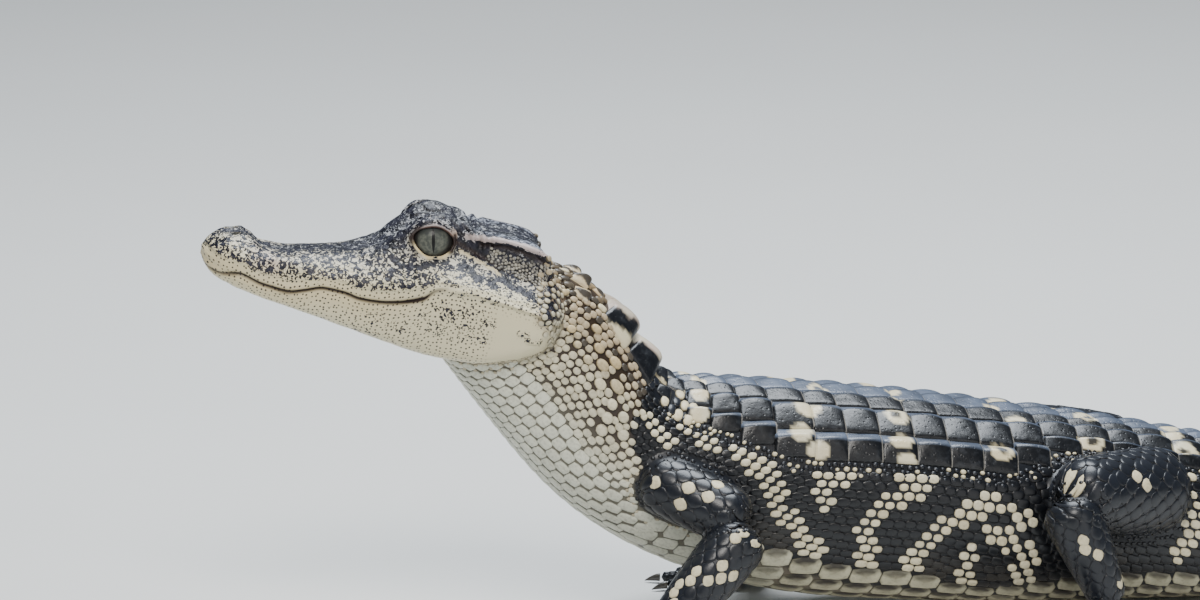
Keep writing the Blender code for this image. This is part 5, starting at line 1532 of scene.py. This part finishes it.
def horn_tone(cream_at, tint=STRAW, base=BLACK * 0.5):
    """Glossy dark horn on the keel and the top, pale at the foot, with ragged edges."""
    def read(u, w, points):
        ragged = 0.35 * grain(points, 3.0, 90) + 0.15 * grain(points, 1.2, 91)
        pale = ease(np.abs(w) * 0.7 + (1 - u) * 0.35 * cream_at + ragged, 0.58, 0.72)
        return mix(np.broadcast_to(base, points.shape),
                   mix(CREAM * 0.9, tint, 0.6 + 0.4 * grain(points, 4, 92)), pale)
    return read


def shield_tone(upper, foot):
    """Black horn with flesh-pale patches on the upper face and a cream foot, each by its own share."""
    def read(u, across, points):
        ragged = 0.22 * grain(points, 3.0, 93) + 0.08 * grain(points, 1.2, 94)
        flesh = mix((0.46, 0.36, 0.31), CREAM, 0.5 + 0.5 * grain(points, 4, 92))
        pale = upper * (1 - ease(across + ragged, 0.08, 0.20)) * (1 - ease(u + ragged, 0.78, 0.92))
        tone = mix(np.broadcast_to(BLACK * 0.3, points.shape), flesh, pale)
        return mix(tone, mix(CREAM, STRAW, 0.4), foot * ease(across + 0.8 * u + ragged, 1.15, 1.27))
    return read


# Plates of the nape: place along, inner and outer edge round, length, keel, lift, lean, tone.
NAPE_PLATES = (
    (18.5, 2.6, 9.0, 6.4, 2.6, 1.5, 0.4, horn_tone(1.4, TAN * 1.6, UMBER)),
    (20.5, 9.6, 15.8, 5.8, 1.6, 1.2, 0.3, horn_tone(1.4, TAN * 1.6, UMBER)),
    (26.5, 1.4, 6.8, 4.8, 0.9, 0.9, 0.2, horn_tone(1.2, TAN * 1.6, UMBER)),
    (37.0, 1.2, 18.4, 12.4, 4.6, 2.0, 0.60, shield_tone(0.8, 1.0)),
    (52.2, 1.2, 20.2, 13.6, 5.0, 2.2, 0.55, shield_tone(1.0, 0.0)),
    (66.0, 1.0, 10.5, 9.6, 2.8, 1.5, 0.25, horn_tone(0.3)),
    (68.0, 11.6, 20.0, 7.5, 1.5, 1.2, 0.15, horn_tone(0.0)),
    (75.6, 1.0, 12.0, 9.0, 2.1, 1.4, 0.1, horn_tone(0.0)),
)


def nape_plates():
    """Two pairs of tall leaning plates on the nape, small ones before and beside them, one pair behind."""
    plates = Plates()
    for side, (s, inner, outer, length, keel, lift, lean, tone) in itertools.product((1, -1), NAPE_PLATES):
        crest, shelf = (-0.15 * side, 0.7) if keel > 4 else (0.0, 0.0)
        plates.add(s, side * (inner + outer) / 2, length, outer - inner, keel, lift, lean, 1.3, 0.35, tone,
                   16, 0.2, crest, shelf)
    plates.finish("nape_plates", "skin_neck")


def nape_scales(clear):
    """Small oval scales that fill the nape between and beside its plates."""
    coat = Coat()
    rows = pitch_rows(2.6, 81, line((0, 3.4), (40, 3.9), (84, 4.2)))
    for side in (1, -1):
        s, v, width, length, _ = (x.ravel() for x in rows_and_columns(*rows, np.zeros_like, flank_top, 5))
        s, v = s + jitter(len(s), 0.5, 15), v + jitter(len(s), 0.4, 16)
        keep = clear(BODY_SKIN, s, v * side)
        for s0, inner, outer, reach, *_ in NAPE_PLATES:
            keep &= (np.abs(s - s0) > reach * 0.55) | (v < inner - 0.8) | (v > outer + 0.8)
        s, v, width, length = (x[keep] for x in (s, v, width, length))
        n = len(s)
        points, _ = BODY_SKIN.at(s, v * side)
        tan = 0.5 * (grain(points, 5, 37) > 0.2) + 0.3 * jitter(n, 1, 17) ** 2
        tone = mix(mix(UMBER * 1.2, TAN, tan), BLACK * 1.2, ease(s, 46, 60))
        pale = grain(points, 7, 38) + 0.5 * jitter(n, 1, 18) > 0.62
        tone = np.where(pale[:, None], mix(CREAM, STRAW, 0.5), tone)
        size = 1 + jitter(n, 0.12, 19)
        coat.add(BODY_SKIN, s, v * side, length * 0.96 * size, width * 0.94 * size, 1.0, 2.4, tone)
    coat.finish("nape_scales", "skin_neck")


TAIL_HEIGHT = line((280, 2.6), (360, 4.2), (450, 5.6), (520, 7.0), (580, 6.6), (640, 5.0), (700, 2.6),
                   (740, 1.6))
TAIL_GAP = line((280, 15.0), (340, 12.5), (400, 8.5), (445, 4.5), (470, 2.4), (700, 2.4))
CREST_JOINS, TAIL_PLATES_END = 470.0, 436
TAIL_BAND_AT, TAIL_BAND_STEP = 262, 34.0


def tail_rows():
    """Middle and pitch of each ring of scales down the tail: the pitch shrinks evenly towards the tip."""
    s, rows = TAIL_START + 6.0, []
    while s < SPINE.length - 6:
        pitch = PLATE_PITCH * (1 - 0.30 * min(len(rows) / 36, 1.3))
        rows.append((s, pitch))
        s += pitch
    return rows


def tail_pale(s, v, points):
    """0 to 1: the tail's cream cross bands at even steps, ragged and broken over the back."""
    phase = (s - TAIL_BAND_AT) / TAIL_BAND_STEP
    away = np.abs(phase - np.round(phase)) * TAIL_BAND_STEP
    edge = 4.6 + 1.6 * grain(points, 7, 100)
    return (1 - ease(away, edge * 0.8, edge * 1.2)) * (0.35 + 0.65 * ease(np.abs(v), 8, 14))


def tail_scales():
    """Rings of oblong scales round the tail, fewer and smaller towards the tip."""
    for name, first, last in (("root", 0, 12), ("middle", 12, 28), ("tip", 28, 99)):
        coat = Coat()
        for s0, pitch in tail_rows()[first:last]:
            half = float(BODY_SKIN.half_girth(s0))
            start = float(TAIL_GAP(s0)) + 2.0 if s0 < CREST_JOINS else 1.6
            count = max(2, round((half - start) / (6.4 - 2.4 * ease(s0, 420, 640))))
            v = start + (half - start) * (np.arange(count) + 0.5) / count
            under = ease(v / half, 0.72, 0.86)
            for side in (1, -1):
                s = s0 + jitter(count, 0.2, int(s0))
                points, _ = BODY_SKIN.at(s, v * side)
                tone = mix(BLACK * 1.2, mix(CREAM, STRAW, 0.55), tail_pale(s, v, points))
                tone = mix(tone, BELLY * 0.9, under * 0.8)
                coat.add(BODY_SKIN, s, v * side, pitch * 0.95, (half - start) / count * 0.93,
                         0.62 + 0.25 * (1 - under), 4.2, tone, lean=0.45)
        coat.finish("tail_scales_" + name)


def tail_plates():
    """Low keeled plates between the two crest rows of the tail's root."""
    plates = Plates()
    for s0, pitch in tail_rows():
        if s0 > TAIL_PLATES_END:
            break
        gap = float(TAIL_GAP(s0))
        for side in (1, -1):
            plates.add(s0, side * gap * 0.5, pitch * 1.06, gap * 0.96, 1.3, 1.2, grid=9)
    plates.finish("tail_plates")


def tail_crest():
    """Crest scutes: leaves that rise rearwards to a point, lens-shaped in section, in two rows, then one.

    A leaf's outline is height * sin-shaped rise. Its half thickness falls off from its root and middle.
    """
    plates = Plates()
    up, along = np.meshgrid(np.linspace(0, 1, 7), np.linspace(0, 1, 9), indexing="ij")
    quads, border = grid_faces(*up.shape)
    n, following = up.size, np.roll(border, -1)
    faces = [turned(quads), quads + n, np.stack([following, border, border + n, following + n], -1)]
    outline = up * (0.10 + 0.90 * np.sin(math.pi * (0.06 + 0.88 * along**1.7)) ** 0.9)
    thick = (0.95 * (1 - up) ** 0.7 + 0.12) * (0.25 + 0.75 * np.sin(math.pi * along) ** 0.6)
    rims = np.tile(0.55 * ease(up.ravel(), 0.85, 1.0), 2)
    for s0, pitch in tail_rows():
        height = float(TAIL_HEIGHT(s0)) * 1.12
        s = s0 + (along - 0.5) * pitch * 1.02 + up * pitch * 0.20
        for side in (1, -1) if s0 < CREST_JOINS else (0,):
            gap = float(TAIL_GAP(s0)) * side
            skin, _ = BODY_SKIN.at(s, gap + 0 * s)
            _, direction, left, over, _ = SPINE.frame(s)
            tilt = unit(over + left * 0.42 * side)
            flat = unit(np.cross(tilt, direction))
            middle = skin + tilt * (height * outline - 1.3 * (up < 0.01))[..., None]
            block = np.concatenate([(middle + flat * (k * thick)[..., None]).reshape(-1, 3) for k in (1, -1)])
            both_s = np.tile(s.ravel(), 2)
            pale = tail_pale(both_s, np.full(2 * n, 12.0), block)
            chart_v = gap + np.concatenate([up.ravel() * 3, 4 + up.ravel() * 3])
            plates.take(block, outward(block, faces), mix(BLACK * 1.2, mix(CREAM, STRAW, 0.6), pale), rims,
                        np.stack([both_s, chart_v], -1))
    plates.finish("tail_crest")


# Cream spots of the legs, as (along, round) on each part, with v towards the front of the leg.
LEG_SPOTS = {
    ("fore", UPPER): ((2, 3.4), (6, 17.3), (10, 14.9), (19, 13.6), (20.5, 7.8), (25.5, 4.6), (28, 8.1),
                      (39, 8)),
    ("fore", LOWER): ((3.5, -17.5), (9, -5.6), (5.5, -6.2), (4, -11), (3.5, -14), (23, -7.2), (24, -11.4),
                      (20, -11.3),
                      (18.5, -12.9), (17.5, -9.9), (16.5, -14), (27.5, -5.5), (32, -3.9), (35.5, -4)),
    ("hind", UPPER): ((53.5, 13.4), (56, 2.1), (55.5, -2.7), (54.5, -6.8), (30, -14), (34, -10)),
    ("hind", LOWER): ((13, 12.2), (16, 11.9), (18, 11.2), (19.5, 10.6), (33, 4), (35, -2)),
}


def limb_tone(name, part, s, v, points, pitch, wide):
    """Tone of a leg's scales: black, with a cream one nearest to each spot of its part."""
    tone = BLACK * 0.9 * (1 + 0.3 * grain(points, 6, 111))[:, None]
    for s0, v0 in LEG_SPOTS.get((name[:4], part), ()):
        tone[(np.abs(s - s0) < pitch / 2) & (np.abs(v - v0) < wide / 2)] = mix(CREAM, STRAW, 0.35)
    return tone


EAR_PITCH, EAR_TONES = 1.3, (np.array((0.42, 0.39, 0.32)), np.array((0.06, 0.06, 0.065)))


def head_scales(clear, points, normals, low, high, place):
    """Beads over the ear, and oval scales round the back of the head up to the first of the neck."""
    coat = Coat()
    length = np.arange(0.5, HEAD_LENGTH - 0.5, 0.5)
    side, rise = head_curve(length, np.linspace(0, 4, 81))
    reach = np.hypot(np.diff(side, axis=1), np.diff(rise, axis=1)).sum(axis=1)
    pitch = EAR_PITCH
    for row, a in enumerate(np.arange(88, 112, pitch * 0.9)):
        above = np.arange(8, 26, pitch) + 0.5 * pitch * (row % 2)
        above = above + jitter(len(above), 0.2 * pitch, row)
        at = a + jitter(len(above), 0.2 * pitch, 90 + row)
        inside = ear_place(at, above) > 0.5
        at, above = at[inside], above[inside]
        for sign in (1, -1):
            v = sign * (float(np.interp(a, length, reach)) - above)
            keep = clear(HEAD_SKIN, at, v, 1.3, 0.5)
            n = keep.sum()
            tone = mix(*EAR_TONES, 0.42 + jitter(n, 0.42, row + 7))
            size = pitch * 0.9 * (1 + jitter(n, 0.2, row + 3))
            coat.add(HEAD_SKIN, at[keep], v[keep], size, size, 0.4, 2.3, tone, "granule",
                     chart=(0, 100 * (sign > 0)))
    a, above, _ = place.T
    edge = np.interp(above, (-20, -6, 0, 16, 24, 30), (119, 115, 110, 108.5, 110, 111))
    kept = scatter(points, np.flatnonzero((low == HEAD) & (high == HEAD) & (a > edge)), 2.15)
    where, above = points[kept], above[kept]
    dark = (above > 22) & (grain(where, 4, 95) > -0.3)
    tone = np.where(dark[:, None], UMBER * 0.8, mix(CREAM * 0.8, TAN, ease(above, 6, 20) * 0.6))
    tone = tone * (1 + jitter(len(kept), 0.12, 14))[:, None]
    add_spots(coat, where, normals[kept], 2.2, 2.0, 0.7, 2.2, tone, "scale")
    coat.finish("head_scales", "skin_head")


# Scale rows of the legs: part, pitch, width, height, and where the part lies in the chart.
LEG_ROWS = ((UPPER, 3.5, 6.4, 0.34, 0), (LOWER, 3.2, 5.4, 0.32, 90), (PALM, 2.6, 2.9, 0.3, 180))
TOE_PITCH = 1.9


def leg_scales(clear):
    """Rows of broad oval scales round arm and leg, smaller ones on the feet, and beads on the toes."""
    for name in LEGS:
        coat = Coat()
        for part, pitch, wide, height, chart_v in LEG_ROWS:
            sheet = LIMB_SHEETS[name, part]
            for row, s0 in enumerate(np.arange(pitch * 0.6, sheet.lengths()[-1] - pitch * 0.5, pitch)):
                half = float(sheet.half_girth(s0))
                if half <= 6:
                    continue
                count = max(4, round(2 * half / wide))
                v = (np.arange(count) + 0.5 * (row % 2)) / count * 2 * half - half
                s = s0 + jitter(count, 0.25, row)
                keep = clear(sheet, s, v, 0.45) & (sheet.at(s, v)[0][:, 2] > 1.0)
                s, v = s[keep], v[keep]
                tone = limb_tone(name, part, s, v, sheet.at(s, v)[0], pitch, 2 * half / count)
                size = np.where(tone[:, 1] > 0.3, 0.8, 1.0)
                coat.add(sheet, s, v, pitch * 1.75 * size, 2 * half / count * 0.97 * size, height, 1.4, tone,
                         chart=(0, chart_v), lean=0.35)
        for part in range(TOE, TOE + len(leg_form(name)["toes"])):
            sheet = LIMB_SHEETS[name, part]
            for s0 in np.arange(1.6, sheet.lengths()[-1] - 0.8, TOE_PITCH):
                half = float(sheet.half_girth(s0))
                s, v = np.full(3, s0), np.array([-0.42, 0.0, 0.42]) * half
                keep = clear(sheet, s, v, 0.35)
                s, v = s[keep], v[keep]
                tone = limb_tone(name, part, s, v, sheet.at(s, v)[0], TOE_PITCH, half)
                coat.add(sheet, s, v, 1.95, half * 0.44, 0.22, 3.2, tone, "granule",
                         chart=(60 + 30 * (part - TOE), 180), lean=0.4)
        coat.finish(name + "_scales")


class Spot:
    """A flat patch of skin round single points, for scales that sit at seams instead of on a sheet."""

    def __init__(self, points, normals):
        self.points, self.normals = points, unit(normals)
        self.first = unit(np.cross(self.normals, (0.15, 0.28, 0.95)))
        self.second = np.cross(self.normals, self.first)

    def at(self, s, v):
        x = (s - np.arange(len(s))[:, None] * 100)[..., None]
        points = self.points[:, None] + self.first[:, None] * x + self.second[:, None] * v[..., None]
        return points, np.broadcast_to(self.normals[:, None], points.shape)


def scatter(points, pick, spacing):
    """Some of the picked points, in random order, of which no two stand closer than a spacing."""
    order = pick[np.argsort(np.random.default_rng(3).random(len(pick)))]
    taken, kept = {}, []
    for i in order:
        cell = tuple(np.floor(points[i] / spacing).astype(int))
        near = (j for step in itertools.product((-1, 0, 1), repeat=3)
                for j in taken.get(tuple(np.add(cell, step)), ()))
        if all(np.linalg.norm(points[i] - points[j]) >= spacing for j in near):
            taken.setdefault(cell, []).append(i)
            kept.append(i)
    return np.array(kept)


def add_spots(coat, where, normal, long, wide, height, square, tone, form):
    """Adds scales at single points of the finished skin, laid out in the chart by height and length."""
    n = len(where)
    coat.add(Spot(where, normal), np.arange(n) * 100.0, np.zeros(n), long, wide, height, square, tone, form)
    each = coat.blocks[-1][3].reshape(n, -1, 4)
    each[:, :, 0] = where[:, 0, None]
    each[:, :, 1] = (np.where(where[:, 1] > 0, 200, 0) + where[:, 1] + 0.8 * where[:, 2])[:, None]


def seam_granules(points, normals, low, high, seam, place):
    """Beads of skin that fill the folds where legs, neck and head meet, where no row of scales runs."""
    coat = Coat()
    folded = (seam < 6.0) & (high != LID) & (high != TOE) & (points[:, 2] > 1.2)
    kept = scatter(points, np.flatnonzero(folded & ~((high == HEAD) & (low == HEAD))), 1.75)
    s, v = place[kept, 0], place[kept, 1]
    neck = (high[kept] == HEAD) | ((high[kept] == BODY) & (np.abs(v) > PALE_EDGE(s)) & (s < 120))
    tone = np.where(neck[:, None], mix(CREAM, TAN, 0.25) * 0.85, BLACK * 0.7)
    tone = tone * (1 + jitter(len(kept), 0.2, 4))[:, None]
    add_spots(coat, points[kept], normals[kept], 1.75, 1.55, 0.45, 2.1, tone, "granule")
    coat.finish("fold_granules")


SLIT_HALF_HEIGHT, SLIT_HALF_WIDTH = 0.62, 0.074


def make_eyes():
    """Eyeballs with an iris round an upright slit, drawn from each point's angles off the eye's axis."""
    s = Shader("eye_glass", Roughness=0.5, Coat_Weight=0.10, Coat_Roughness=0.12, Specular_IOR_Level=0.22)
    gaze = s.attribute("gaze", "Vector")
    across, up, off = s.channels("ShaderNodeSeparateXYZ", gaze)
    rays = s.step(s.noise(5.0, gaze, 5.0), 0.30, 0.72)
    iris = s.blend(rays, rgb((0.050, 0.056, 0.048)), rgb((0.125, 0.130, 0.105)))
    iris = s.blend(s.step(up, 0.05, 0.55), iris, rgb((0.022, 0.026, 0.026)))
    iris = s.blend(s.step(off, 0.60, 0.92), iris, rgb((0.012, 0.011, 0.010)))
    taper = s.maths("POWER", s.maths("ABSOLUTE", s.maths("DIVIDE", up, SLIT_HALF_HEIGHT)), 2.6)
    slit = s.scaled(s.maths("MAXIMUM", s.maths("SUBTRACT", 1.0, taper), 0.0), SLIT_HALF_WIDTH)
    inside = s.step(s.maths("SUBTRACT", slit, s.maths("ABSOLUTE", across)), -0.006, 0.006)
    s.set(Base_Color=s.blend(inside, iris, rgb((0.003, 0.003, 0.003))))
    axis = unit(np.array([-0.10, 0.97, 0.16]))
    plumb = np.array([-math.sin(HEAD_PITCH), 0.0, math.cos(HEAD_PITCH)])
    upright = unit(plumb - axis * (plumb @ axis))
    for side, name in ((1, "eye_left"), (-1, "eye_right")):
        centre = (EYE[0], side * EYE[1], EYE[2])
        rings, _ = ball_rings(centre, EYE_RADIUS, 62, 96)
        poles = (head_place(centre[0], centre[1] + k * side * EYE_RADIUS, centre[2]) for k in (1, -1))
        points, faces = capped(rings, *poles)
        ball = (np.stack(head_frame(points), -1) - centre) * (1, side, 1) / EYE_RADIUS
        eye = make_piece(name + "_ball", points, outward(points, faces), s.material,
                         replaces=(name,))
        put(eye.data, "gaze", "FLOAT_VECTOR", np.stack(
            [ball @ np.cross(upright, axis), ball @ upright, np.arccos(np.clip(ball @ axis, -1, 1))], -1))


def make_claws():
    """Claws: cones carried along a curve that dips to the floor, flattened at the sides, dark horn."""
    s = Shader("claw_horn_finish", Coat_Weight=0.3, Coat_Roughness=0.15)
    streak = s.noise(900.0, detail=4.0)
    s.set(Base_Color=s.blend(streak, rgb((0.020, 0.017, 0.015)), rgb((0.10, 0.085, 0.07))),
          Roughness=s.scaled(streak, 0.2, 0.22))
    share, turn = np.linspace(0, 1, 14), np.linspace(0, 2 * math.pi, 16, endpoint=False)
    for name, i in itertools.product(LEGS, range(CLAWED)):
        toe = foot_plan(name)[1][i]
        heading, radius = toe[1], toe[3]
        tip = np.array(toe_rows(toe, i)[-1][:3])
        centre = tip + heading * (CLAW_GAP + CLAW_LENGTH * share)[:, None]
        centre[:, 2] = tip[2] - share**1.8 * 0.82 * (tip[2] - 0.45)
        thick = (radius * 0.8 * (0.88 * (1 - share**1.5) + 0.10 * share))[:, None, None]
        side = unit(np.cross(heading, (0.0, 0.0, 1.0))) * (np.cos(turn) * 0.8)[:, None]
        rings = centre[:, None] + side * thick + np.array([0.0, 0.0, 1.0]) * np.sin(turn)[:, None] * thick
        points, faces = capped(rings, rings[0].mean(0), rings[-1].mean(0) + heading * 0.15)
        node = f"{name}_claw_{i + 1}"
        make_piece(node + "_horn", points, outward(points, faces), s.material, replaces=(node,))


# The studio, in metres: floor, lamps as name, place, size, power and tint, and the camera.
FLOOR_HALF = 3.0
LAMPS_AIM = (-0.10, 0.0, 0.05)
LAMPS = (
    ("overhead", (-0.05, 0.30, 1.25), 0.9, 34.0, (0.88, 0.94, 1.0)),
    ("key", (-0.55, -0.95, 1.15), 0.6, 18.0, (1.0, 0.96, 0.90)),
    ("front", (0.35, -1.6, 0.45), 1.2, 5.0, (1.0, 0.98, 0.95)),
)
CAMERA_AIM, CAMERA_AWAY, SENSOR = (0.0, 0.0, 87.0), 3.0, 36.0
PHOTO_WIDTH, PIXEL = 1200, 0.333 * MM


def place_object(label, data, place, turn):
    """A lamp or camera at a place in metres, turned by a rotation."""
    holder = bpy.data.objects.new(label, data)
    bpy.context.scene.collection.objects.link(holder)
    holder.location = place
    holder.rotation_euler = turn.to_euler()
    return holder


def make_stage():
    """A level pale floor, soft lamps, and the camera at the photo's angle."""
    corners = np.array([(-1, -1, 0), (1, -1, 0), (1, 1, 0), (-1, 1, 0)]) * FLOOR_HALF
    floor = bare_mesh("studio_floor", corners, [np.array([[0, 1, 2, 3]])])
    s = Shader("studio_paper", Roughness=0.9)
    s.set(Base_Color=s.blend(s.noise(6.0, detail=2.0), rgb((0.60, 0.60, 0.58)), rgb((0.64, 0.64, 0.62))))
    floor.data.materials.append(s.material)
    world = bpy.data.worlds.new("studio")
    world.use_nodes = True
    sky = world.node_tree.nodes["Background"].inputs
    sky[0].default_value, sky[1].default_value = rgb((0.72, 0.82, 1.0)), 0.22
    bpy.context.scene.world = world
    for label, place, size, energy, tint in LAMPS:
        lamp = bpy.data.lights.new(label, "AREA")
        lamp.shape, lamp.size, lamp.energy, lamp.color = "DISK", size, energy, tint
        place_object(label, lamp, place, (Vector(LAMPS_AIM) - Vector(place)).to_track_quat("-Z", "Y"))
    azimuth, elevation = math.radians(-14), math.radians(13)
    right = Vector((math.cos(azimuth), math.sin(azimuth), 0.0))
    back = Vector((math.sin(azimuth), -math.cos(azimuth), 0.0)) * math.cos(elevation)
    back.z = math.sin(elevation)
    aim = Vector((np.array(CAMERA_AIM) + SHIFT) * MM) + (right * -90 + back.cross(right) * 72) * PIXEL
    camera = bpy.data.cameras.new("camera")
    camera.sensor_width = SENSOR
    camera.lens = SENSOR * CAMERA_AWAY / (PHOTO_WIDTH * PIXEL)
    camera.clip_end = 50.0
    holder = place_object("camera", camera, aim + back * CAMERA_AWAY, back.to_track_quat("Z", "Y"))
    bpy.context.scene.camera = holder


COAT_FINISH = scale_finish()
PLATE_FINISH = plate_finish()


def main():
    skin, points, normals, low, high, seam, place = make_skin()
    clear = skin_finder(skin)
    flank_scales(clear)
    shield_granules(clear)
    belly_scales(clear)
    back_plates()
    nape_plates()
    nape_scales(clear)
    head_scales(clear, points, normals, low, high, place)
    tail_scales()
    tail_plates()
    tail_crest()
    leg_scales(clear)
    seam_granules(points, normals, low, high, seam, place)
    make_eyes()
    make_claws()
    make_stage()


main()
